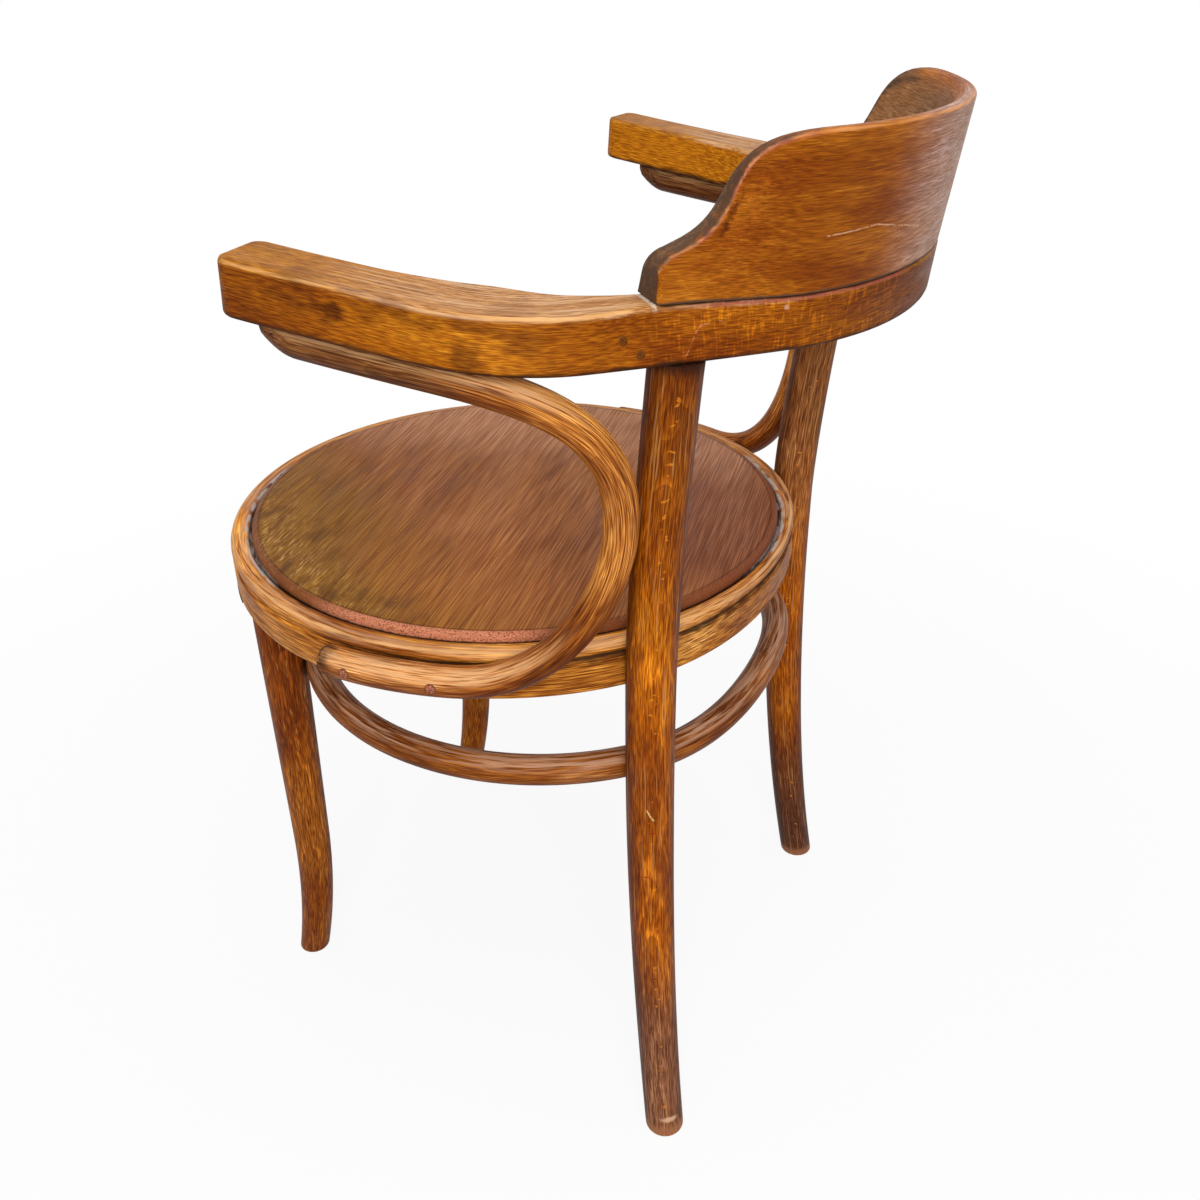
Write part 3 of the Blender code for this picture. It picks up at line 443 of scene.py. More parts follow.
def bow_ring(distance):
    """Spots round the bow at one station. The front end is rounded."""
    trim = round_off(ARM_END_ROUND, distance)
    dip = round_off(BOW_EDGE, distance)
    outer = trim + BOW_EDGE
    inner = bow_width(distance) - trim - BOW_EDGE
    low = BOW_EDGE + dip - BOW_THICKNESS
    high = -BOW_EDGE - dip
    # The top edges are rubbed pale, most at the elbows, and this also serves as a painted highlight along
    # them.
    rubbed = mix(*ARM_EDGE_WEAR_AND_HIGHLIGHT, smooth_step(distance, *ELBOW_WEAR_AND_HIGHLIGHT_FROM))
    rubbed *= smooth_step(distance, BACKREST_END, ELBOW_WEAR_AND_HIGHLIGHT_END)
    section = filled_section([
        (corner_arc(outer, low, BOW_EDGE, math.pi), ARM_LOW_EDGE_WEAR),
        (corner_arc(inner, low, BOW_EDGE, 1.5 * math.pi), ARM_LOW_EDGE_WEAR),
        (corner_arc(inner, high, BOW_EDGE, 0.0), ARM_INNER_EDGE_WEAR_AND_HIGHLIGHT * rubbed),
        (corner_arc(outer + face_slant(distance), high, BOW_EDGE, 0.5 * math.pi), rubbed),
    ])
    rake = ARM_END_RAKE * max(0.0, 1 - distance / ARM_END_ROUND)
    ring = []
    for inward, height, wear in section:
        place = bow_point(distance + rake * (1 + height / BOW_THICKNESS), inward, height)
        # Painted shade on the bow's underside.
        under = UNDERSIDE_SHADE * smooth_step(-height, UNDERSIDE_FROM, BOW_THICKNESS)
        at_backrest = smooth_step(distance, BACKREST_END - BACKREST_GRIME, BACKREST_END)
        at_backrest *= smooth_step(height, -TOP_EDGE_GRIME, 0)
        blank = Vector((inward, height, distance))
        ring.append(Spot(place, blank, wear, max(under, at_backrest)))
    return ring


def make_bow():
    end = quarter_steps(ARM_END_ROUND, ARM_END_STEPS)
    half = [bow_ring(distance) for distance in end[:-1] + stations(ARM_END_ROUND, BOW_HALF)]
    return skin("bow_skin", both_halves(half), ["arm_bow"])


def ogee(share):
    """Distance from the backrest's end, and height there, along its ogee."""
    start = Vector((0.0, BACKREST_SHOULDER))
    end = Vector((OGEE_LENGTH, BACKREST_HEIGHT))
    start_handle = start + OGEE_START_SHARE * OGEE_LENGTH * Vector((1.0, OGEE_START_SLOPE))
    end_handle = end - Vector((OGEE_END_SHARE * OGEE_LENGTH, 0.0))
    return bezier(start, start_handle, end_handle, end, share)


def shoulder(turn):
    """Distance from the backrest's end, and height there, round the shoulder's corner below the ogee."""
    along = SHOULDER_ROUND * (1 - math.cos(turn))
    drop = SHOULDER_ROUND * (1 - math.sin(turn))
    return along, BACKREST_SHOULDER + OGEE_START_SLOPE * along - drop


def backrest_ring(distance, height):
    """Spots round the backrest at one station, up its outer face and down its inner one."""
    along = distance - BACKREST_END
    eased = round_off(BACKREST_END_EDGE, along)

    def outer(h):
        return face_slant(distance) - h * math.tan(BACKREST_LEAN) + eased

    def inner(h):
        hollow = (1 - h / BACKREST_HEIGHT) ** BACKREST_HOLLOW
        return outer(h) + mix(BACKREST_TOP_THICKNESS, BACKREST_FOOT_THICKNESS, hollow) - 2 * eased

    outer_below = height - BACKREST_OUTER_EDGE
    inner_below = height - BACKREST_INNER_EDGE
    end_grain = END_GRAIN_GRIME * (1 - smooth_step(along, *END_GRAIN_FADES))
    section = [(outer(h), h, 0.0, smooth_step(h, BACKREST_SEAM_GRIME, 0.0)) for h in BACKREST_SEAM]
    for share in FLAT_SHARES:
        h = mix(BACKREST_SEAM[-1], outer_below, share)
        section.append((outer(h), h, 0.0, 0.0))
    for angle in steps(0.0, math.pi / 2, CORNER_STEPS):
        h = outer_below + BACKREST_OUTER_EDGE * math.sin(angle)
        u = outer(h) + BACKREST_OUTER_EDGE * (1 - math.cos(angle))
        section.append((u, h, math.sin(2 * angle), end_grain * math.sin(angle)))
    for angle in steps(math.pi / 2, 0.0, WIDE_CORNER_STEPS):
        h = inner_below + BACKREST_INNER_EDGE * math.sin(angle)
        u = inner(h) - BACKREST_INNER_EDGE * (1 - math.cos(angle))
        section.append((u, h, BACKREST_INNER_EDGE_WEAR, end_grain))
    for h in steps(inner_below, 0.0, BACKREST_INNER_STEPS)[1:]:
        section.append((inner(h), h, 0.0, BACKREST_INNER_GRIME))
    start_grime = BACKREST_START_GRIME if along == 0 else 0.0
    ring = []
    for inward, h, wear, grime in section:
        place = bow_point(distance, inward, h + GAP)
        ring.append(Spot(place, Vector((inward, h, distance)), wear, max(grime, start_grime)))
    return ring


def make_backrest():
    curve = [shoulder(turn) for turn in steps(0.0, math.pi / 2, WIDE_CORNER_STEPS)]
    curve += [point for point in map(ogee, steps(0.0, 1.0, OGEE_STEPS)) if point[0] > SHOULDER_ROUND]
    half = [backrest_ring(BACKREST_END + along, height) for along, height in curve[:-1]]
    level = stations(BACKREST_END + OGEE_LENGTH, BOW_HALF)
    half += [backrest_ring(distance, BACKREST_HEIGHT) for distance in level]
    return skin("backrest_skin", both_halves(half), ["backrest"])


def flattened(angle, depth):
    """How far inside its circle a ring runs, up to the depth at the middle of the back."""
    start = math.sin(FLAT_FROM)
    return depth * max(0.0, (math.sin(angle) - start) / (1 - start)) ** 2


def ring_profile(angle):
    """(radius, height, wear and painted highlight, grime and painted shade) round the seat ring: band,
    groove, bead, lip and ledge.
    """
    outer = RING_RADIUS - flattened(angle, RING_FLAT)
    bead = RING_BEAD / 2
    bead_u, bead_h = outer - bead, RING_TOP - bead
    lip = RING_RADIUS - RING_LIP
    inner = RING_RADIUS - RING_WIDTH
    ledge = PANEL_BOTTOM - GAP
    band_top = RING_TOP - RING_BEAD - EDGE
    kept = mix(GROOVE_WORN_GRIME, 1.0, smooth_step(abs(angle - GROOVE_WORN_AT), *GROOVE_WORN_REACH))
    low_edge = corner_arc(outer - EDGE, RING_BOTTOM + EDGE, EDGE, 1.5 * math.pi)
    profile = [(u, RING_BOTTOM, 0.0, 0.5) for u in steps(inner, outer - EDGE, 6)[:-1]]
    profile += [(u, h, 0.5, 0.2) for u, h in low_edge]
    profile += [(outer, h, 0.0, 0.0) for h in steps(RING_BOTTOM + EDGE, band_top - EDGE, 8)[1:-1]]
    band_edge = corner_arc(outer - EDGE / 2, band_top - EDGE / 2, EDGE / 2, 0.0)
    profile += [(u, h, 0.0, 0.5 * kept) for u, h in band_edge]
    for turn in steps(*BEAD_TURNS, BEAD_STEPS):
        groove = kept * smooth_step(turn, *GROOVE_GRIME)
        # The bead's rubbed band also serves as a painted highlight line along it.
        worn = smooth_step(abs(turn - BEAD_RUBBED_AND_HIGHLIGHT), BEAD_RUBBED_AND_HIGHLIGHT_REACH, 0.0)
        profile.append((bead_u + bead * math.cos(turn), bead_h + bead * math.sin(turn), worn, groove))
    top = steps(bead_u, lip + EDGE, 4)[1:-1]
    profile += [(u, RING_TOP, 0.2, 0.0) for u in top]
    profile += [(u, h, 0.4, 0.3) for u, h in corner_arc(lip + EDGE, RING_TOP - EDGE, EDGE, 0.5 * math.pi)]
    profile += [(lip, h, 0.0, 1.0) for h in steps(RING_TOP - EDGE, ledge, 4)[1:]]
    profile += [(u, ledge, 0.0, 1.0) for u in steps(lip, inner, 4)[1:]]
    profile += [(inner, h, 0.0, 0.5) for h in steps(ledge, RING_BOTTOM, 4)[1:-1]]
    return profile


def make_seat_ring():
    rings = []
    for angle in steps(math.pi, math.pi + math.tau, RING_STEPS):
        along = RING_RADIUS * (angle - math.pi)
        rings.append([Spot(around(u, angle, h), Vector((u, h, along)), wear, grime)
                      for u, h, wear, grime in ring_profile(angle)])
    return skin("seat_ring_skin", rings, ["seat_ring"], closed=True)


def make_seat_panel():
    """A disc whose grain runs straight across it."""
    flat = PANEL_RADIUS - PANEL_EDGE_ROUND
    profile = [(radius, SEAT_HEIGHT, 0.0, 0.0) for radius in steps(PANEL_CENTRE, flat, PANEL_RINGS)[:-1]]
    edge_low = SEAT_HEIGHT - PANEL_EDGE_ROUND
    for u, h in reversed(corner_arc(flat, edge_low, PANEL_EDGE_ROUND, 0.0)):
        profile.append((u, h, 0.0, 0.0))
    profile += [(PANEL_RADIUS, h, 0.0, 1.0) for h in steps(edge_low, PANEL_BOTTOM, 3)[1:]]
    profile += [(radius, PANEL_BOTTOM, 0.0, 0.3) for radius in steps(PANEL_RADIUS, PANEL_CENTRE, 8)[1:]]
    rings = []
    for radius, height, wear, grime in profile:
        ring = []
        for angle in turns(RING_STEPS):
            along = around(radius, angle - PANEL_GRAIN)
            blank = Vector((along.y, height, along.x))
            ring.append(Spot(around(radius, angle, height), blank, wear, grime))
        rings.append(ring)
    return skin("seat_panel_skin", rings, ["seat_panel"])


def clear_of_seat_ring(point):
    """The point, or where it is pushed out to if it lies inside the seat ring's outer cylinder."""
    reach = math.hypot(point.x, point.y)
    room = RING_RADIUS + GAP
    if reach >= room or not RING_BOTTOM - GAP < point.z < RING_TOP + GAP:
        return point
    return Vector((point.x * room / reach, point.y * room / reach, point.z))


def from_foot_ring(point):
    """The way to a point from the nearest place on the foot ring's centre line."""
    level = Vector((point.x, point.y - FOOT_RING_CENTRE.y, 0.0))
    return point - level.normalized() * FOOT_RING_RADIUS - FOOT_RING_CENTRE


def clear_of_foot_ring(point):
    """The point, or where it is pushed out to if it lies inside the foot ring's tube."""
    away = from_foot_ring(point)
    room = FOOT_RING_TUBE + GAP
    return point if away.length >= room else point + away * (room / away.length - 1)


def post_station():
    """Distance along the bow to where the rail's middle lies at the post's angle about the seat."""
    near, far = ARM_STRAIGHT, BOW_HALF
    for _ in range(SOLVER_ROUNDS):
        middle = (near + far) / 2
        point = bow_point(middle, bow_width(middle) / 2)
        if math.atan2(point.y, point.x) < POST_ANGLE:
            near = middle
        else:
            far = middle
    return near


POST_STATION = post_station()
POST_TOP = bow_point(POST_STATION, bow_width(POST_STATION) / 2, -BOW_THICKNESS)


def post_centre(height):
    """The rear leg's centre line: splayed below the ring, and bent out to the rail above it."""
    base = around(POST_RING_RADIUS, POST_ANGLE)
    if height < RING_MIDDLE:
        splay = POST_FOOT_SPLAY * (1 - height / RING_MIDDLE) ** POST_SPLAY_POWER
        return around(POST_RING_RADIUS + splay, POST_ANGLE, height)
    share = ((height - RING_MIDDLE) / (POST_TOP.z - RING_MIDDLE)) ** POST_RISE_POWER
    return Vector((mix(base.x, POST_TOP.x, share), mix(base.y, POST_TOP.y, share), height))


def post_radius(height):
    lower = mix(POST_FOOT_RADIUS, POST_WAIST_RADIUS, smooth_step(height, 0.0, POST_TAPER_TOP))
    return mix(lower, POST_TOP_RADIUS, smooth_step(height, RING_MIDDLE, POST_TOP.z))


def leg_centre(height):
    """A front leg's centre line: nearly upright, with its foot turned forward."""
    lean = LEG_LEAN * (1 - height / RING_BOTTOM)
    turn = LEG_FOOT_SPLAY * max(0.0, 1 - height / LEG_SPLAY_HEIGHT) ** 2
    return around(RING_RADIUS - LEG_INSET, LEG_ANGLE, height) - Vector((0, lean + turn, 0))


def leg_radius(height):
    return mix(LEG_FOOT_RADIUS, LEG_TOP_RADIUS, height / RING_BOTTOM)


def upright_rings(centre, radius, heights, top_at):
    """Level rings up a leg, clear of both rings, with a rounded foot and the last one lifted to top_at."""
    rings = []
    for height in heights:
        middle = centre(height)
        size = radius(height) - round_off(EDGE, height)
        worn = smooth_step(height, FOOT_WEAR, 0.0)
        at_top = LEG_TOP_GRIME * smooth_step(height, heights[-1] - LEG_TOP_GRIME_REACH, heights[-1])
        ring = []
        for turn in turns(ROD_SIDES):
            across = around(size, turn)
            place = clear_of_foot_ring(clear_of_seat_ring(middle + across))
            top = top_at(place)
            place.z = top if height == heights[-1] else min(place.z, top)
            near_ring = from_foot_ring(place).length - FOOT_RING_TUBE
            joint = max(at_top, smooth_step(near_ring, *FOOT_RING_GRIME))
            ring.append(Spot(place, Vector((across.x, across.y, height)), worn, joint))
        rings.append(ring)
    return rings


def make_upright(name, side, centre, radius, top, top_at, count):
    rim = quarter_steps(EDGE, CORNER_STEPS)
    rings = upright_rings(centre, radius, rim[:-1] + steps(EDGE, top, count), top_at)
    return skin(f"{name}_skin", [on_side(side, ring) for ring in rings], [name])


def make_post(side, label):
    return make_upright(f"rear_leg_{label}", side, post_centre, post_radius, POST_TOP.z,
                        lambda point: bow_top(point.y) - BOW_THICKNESS - GAP, POST_STEPS)


def make_leg(side, label):
    top = RING_BOTTOM - GAP
    return make_upright(f"front_leg_{label}", side, leg_centre, leg_radius, top,
                        lambda point: top, LEG_STEPS)


def make_foot_ring():
    rings = []
    for angle in steps(math.pi, math.pi + math.tau, RING_STEPS):
        along = FOOT_RING_RADIUS * (angle - math.pi)
        ring = []
        for turn in turns(FOOT_RING_SIDES):
            u, h = FOOT_RING_TUBE * math.cos(turn), FOOT_RING_TUBE * math.sin(turn)
            reach = FOOT_RING_RADIUS - flattened(angle, FOOT_RING_FLAT) + u
            ring.append(Spot(around(reach, angle, h) + FOOT_RING_CENTRE, Vector((u, h, along))))
        rings.append(ring)
    return skin("foot_ring_skin", rings, ["foot_ring"], closed=True)


def support_under_arm(distance, radius):
    """Centre of the support where it lies against the arm's underside."""
    return bow_point(distance, SUPPORT_INSET, -BOW_THICKNESS - GAP - radius)


def support_path(side):
    """(centre, radius) along a support, as on the left: a thinned nose, past the post, along the ring."""
    front = SUPPORT_FRONTS[side]
    path = []
    for share in steps(0.0, 1.0, SUPPORT_TIP_STEPS):
        nose = SUPPORT_TAPER * share
        swell = mix(SUPPORT_TIP, 1.0, math.sin(share * math.pi / 2))
        nosed = 1 - round_off(SUPPORT_NOSE, nose) / SUPPORT_NOSE * (1 - WELD / EDGE)
        radius = SUPPORT_RADIUS * swell * nosed
        path.append((support_under_arm(front + nose, radius), radius))
    run = steps(front + SUPPORT_TAPER, SUPPORT_LEAVES_ARM, SUPPORT_ARM_STEPS)
    centres = [support_under_arm(distance, SUPPORT_RADIUS) for distance in run]
    leave = centres[-1]
    leave_heading = (centres[-1] - centres[-2]).normalized()
    post_height = mix(SUPPORT_LOW, leave.z, SUPPORT_POST_SHARE)
    reach = post_radius(post_height) + SUPPORT_RADIUS + SUPPORT_POST_GAP
    beside_post = post_centre(post_height) + around(reach, SUPPORT_POST_SIDE)
    above_post = post_centre(post_height + SUPPORT_RADIUS)
    down = (post_centre(post_height - SUPPORT_RADIUS) - above_post).normalized()
    meet_angle = SUPPORT_MEETS_RING[side]
    meet = around(SUPPORT_RING_RADIUS, meet_angle, SUPPORT_LOW)
    forward = around(1.0, meet_angle - math.pi / 2)
    drop = leave.z - post_height
    fall = post_height - SUPPORT_LOW
    shares = steps(0.0, 1.0, SUPPORT_BEND_STEPS)[1:]
    upper_start = leave + leave_heading * UPPER_BEND_HANDLES[0] * drop
    upper_end = beside_post - down * UPPER_BEND_HANDLES[1] * drop
    centres += [bezier(leave, upper_start, upper_end, beside_post, share) for share in shares]
    lower_start = beside_post + down * LOWER_BEND_HANDLES[0] * fall
    lower_end = meet - forward * LOWER_BEND_HANDLES[1] * fall
    centres += [bezier(beside_post, lower_start, lower_end, meet, share) for share in shares]
    for angle in steps(meet_angle, SUPPORT_RING_END, SUPPORT_RING_STEPS)[1:]:
        centres.append(around(SUPPORT_RING_RADIUS, angle, SUPPORT_LOW))
    path += [(centre, SUPPORT_RADIUS) for centre in centres[1:]]
    end = centres[-1]
    onward = (centres[-1] - centres[-2]).normalized()
    for turn in steps(0.0, DOME_END, DOME_STEPS)[1:]:
        path.append((end + onward * SUPPORT_DOME * math.sin(turn), SUPPORT_RADIUS * math.cos(turn)))
    return path


def make_support(side, label):
    path = support_path(side)
    centres = [centre for centre, _ in path]
    headings = []
    for behind, ahead in zip(centres[:1] + centres[:-1], centres[1:] + centres[-1:]):
        headings.append((ahead - behind).normalized())
    across = Vector((0, 0, 1)).cross(headings[SUPPORT_TIP_STEPS]).normalized()
    length = sum((ahead - behind).length for behind, ahead in zip(centres, centres[1:]))
    rings = []
    along = 0.0
    for row, ((centre, radius), heading) in enumerate(zip(path, headings)):
        along += (centre - centres[row - 1]).length if row else 0.0
        if row > SUPPORT_TIP_STEPS:
            across = (across - heading * across.dot(heading)).normalized()
            upward = heading.cross(across)
        else:
            upward = headings[SUPPORT_TIP_STEPS].cross(across)
        ring = []
        for turn in turns(ROD_SIDES):
            u, h = radius * math.cos(turn), radius * math.sin(turn)
            place = clear_of_seat_ring(centre + across * u + upward * h)
            touch = place.z - (bow_top(place.y) - BOW_THICKNESS)
            # Grime and painted shade where the support lies under the arm.
            joint = smooth_step(touch, *ARM_JOINT_GRIME_AND_SHADE) * (1 - smooth_step(along, *ARM_JOINT_GRIME_AND_SHADE_ENDS))
            # Grime and painted shade along the seam with the seat ring.
            ring_seam_grime_and_shade = smooth_step(math.hypot(place.x, place.y), RING_RADIUS + RING_SEAM_GRIME_AND_SHADE, RING_RADIUS)
            ring_seam_grime_and_shade *= smooth_step(place.z, *RING_SEAM_GRIME_AND_SHADE_HEIGHTS)
            # Painted shade on the tip's dome, where it turns down against the ring.
            tip_shade = TIP_SHADE * smooth_step(along, length - TIP_SHADE_FROM, length - TIP_SHADE_TO)
            ring.append(Spot(place, Vector((u, h, along)), 0.0, max(joint, ring_seam_grime_and_shade, tip_shade)))
        rings.append(on_side(side, ring))
    return skin(f"arm_support_{label}_skin", rings, [f"arm_support_{label}"])


def plug_surface(angle):
    """The support's outer face about a plug: a function of the way right, up and out from its middle."""
    def surface(right, up, out):
        turned = angle + right / (SUPPORT_RING_RADIUS + SUPPORT_RADIUS)
        bulge = math.sqrt(SUPPORT_RADIUS**2 - up**2) + out
        return around(SUPPORT_RING_RADIUS + bulge, turned, SUPPORT_LOW + up)
    return surface


def pin_surface(ahead, drop):
    """The bow's outer face about a pin, in the same way."""
    def surface(right, up, out):
        place = POST_STATION - ahead + right
        height = up - drop * BOW_THICKNESS
        face = face_slant(place) * (height + BOW_THICKNESS - BOW_EDGE) / (BOW_THICKNESS - 2 * BOW_EDGE)
        return bow_point(place, face - out, height)
    return surface


def make_plug(name, side, radius, surface):
    """A sanded plug or pin end that follows the surface round it."""
    bm = bmesh.new()
    blank = bm.verts.layers.float_vector.new("blank")
    shares = steps(1 / PLUG_RINGS, 1.0, PLUG_RINGS - 1)
    outs = [(share, PLUG_PROUD * (1 - share**4)) for share in shares] + [(1.0, -PLUG_DEPTH)]
    loops = []
    for share, out in [(WELD, PLUG_PROUD)] + outs:
        loop = []
        for turn in turns(PLUG_SIDES):
            offset = around(radius * share, turn)
            vert = bm.verts.new(to_side(side, surface(offset.x, offset.y, out)) + SEAT_AXIS)
            vert[blank] = (offset.x / radius, offset.y / radius, 0.0)
            loop.append(vert)
        loops.append(loop)
    for near, far in zip(loops, loops[1:]):
        for i in range(PLUG_SIDES):
            bm.faces.new((near[i - 1], near[i], far[i], far[i - 1]))
    bm.faces.new(loops[0])
    bm.faces.new(loops[-1])
    return add_piece(f"{name}_skin", bm, [name])


def linear(red, green, blue):
    """Scene-linear colour of an sRGB one that is given from 0 to 255."""
    def channel(value):
        share = value / 255
        return share / 12.92 if share <= 0.04045 else ((share + 0.055) / 1.055) ** 2.4
    return (channel(red), channel(green), channel(blue), 1.0)


class Paint:
    """Adds nodes to one material. Values are sockets or plain numbers, and results are sockets."""

    def __init__(self, name):
        self.material = bpy.data.materials.new(name)
        self.material.use_nodes = True
        self.tree = self.material.node_tree
        self.shader = self.tree.nodes["Principled BSDF"]

    def put(self, kind, values, out=0, **settings):
        node = self.tree.nodes.new(kind)
        for setting, value in settings.items():
            setattr(node, setting, value)
        for socket, value in values.items():
            self.feed(node.inputs[socket], value)
        return node.outputs[out]

    def feed(self, socket, value):
        if isinstance(value, bpy.types.NodeSocket):
            self.tree.links.new(value, socket)
        else:
            socket.default_value = value

    def finish(self, values):
        """Feeds the shader's named sockets and returns the material."""
        for name, value in values.items():
            self.feed(self.shader.inputs[name], value)
        return self.material

    def attribute(self, name, out="Fac"):
        return self.put("ShaderNodeAttribute", {}, out, attribute_name=name)

    def place(self):
        """The point's place in its piece's own frame, which is the row frame for skins and the floor."""
        return self.put("ShaderNodeTexCoord", {}, "Object")

    def math(self, operation, first, second=0.0):
        return self.put("ShaderNodeMath", {0: first, 1: second}, operation=operation)

    def times(self, product, *factors):
        for factor in factors:
            product = self.math("MULTIPLY", product, factor)
        return product

    def plus(self, first, second):
        return self.math("ADD", first, second)

    def minus(self, first, second):
        return self.math("SUBTRACT", first, second)

    def vector(self, operation, first, second=(0, 0, 0), out=0):
        return self.put("ShaderNodeVectorMath", {0: first, 1: second}, out, operation=operation)

    def length(self, vector):
        return self.vector("LENGTH", vector, out="Value")

    def dot(self, first, second):
        return self.vector("DOT_PRODUCT", first, second, out="Value")

    def rise(self, value, low, high):
        """From 0 at low to 1 at high, smoothly. Low may be the greater."""
        values = {"Value": value, "From Min": low, "From Max": high}
        return self.put("ShaderNodeMapRange", values, interpolation_type="SMOOTHSTEP")

    def between(self, value, low, high, soft):
        """1 from low to high, falling to 0 a soft way outside."""
        return self.times(self.rise(value, low - soft, low), self.rise(value, high + soft, high))

    def mapped(self, place, scale, seed):
        values = {"Vector": place, "Scale": scale, "Location": (seed, -seed, seed)}
        return self.put("ShaderNodeMapping", values)

    def noise(self, place, scale, seed, detail, out=0):
        values = {"Vector": self.mapped(place, scale, seed), "Scale": 1.0, "Detail": detail}
        return self.put("ShaderNodeTexNoise", values, out)

    def cells(self, place, scale, seed):
        """Distance to the nearest of scattered points."""
        return self.put("ShaderNodeTexVoronoi", {"Vector": self.mapped(place, scale, seed), "Scale": 1.0})

    def blend(self, share, first, second, mode="MIX"):
        values = {0: share, 6: first, 7: second}
        return self.put("ShaderNodeMix", values, 2, data_type="RGBA", blend_type=mode)

    def part(self, vector, axis):
        return self.put("ShaderNodeSeparateXYZ", {0: vector}, axis)


WOOD_SPECULAR = 0.07
RINGS_PER_METRE = 420
RING_WANDER = 3.0
RELIEF_STRENGTH = 0.4
RELIEF_DEPTH = 0.0005

# How the grain shades whatever tone lies under it.
DARK_FIBRE = (0.42, 0.29, 0.19)
LIGHT_FIBRE = (1.60, 2.0, 2.5)
DARK_LINE = (0.34, 0.24, 0.18)
DARK_STREAK = (0.42, 0.30, 0.22)
PALE_STREAK = (1.45, 1.75, 2.4)
PORE = (0.40, 0.28, 0.20)
FLECK = (1.45, 1.65, 1.7)

# Tones are sRGB from 0 to 255, and fibre gives how many fibres go to a metre across and along.
# A wood's worn colour is that of rubbed wear and of the painted highlights it stands for, and its grime
# colour is that of grime and painted shade.
Wood = namedtuple("Wood", "dark middle light worn grime seed pith tilt ring_glow"
                  " fibre contrast streaks lines pores gloss")


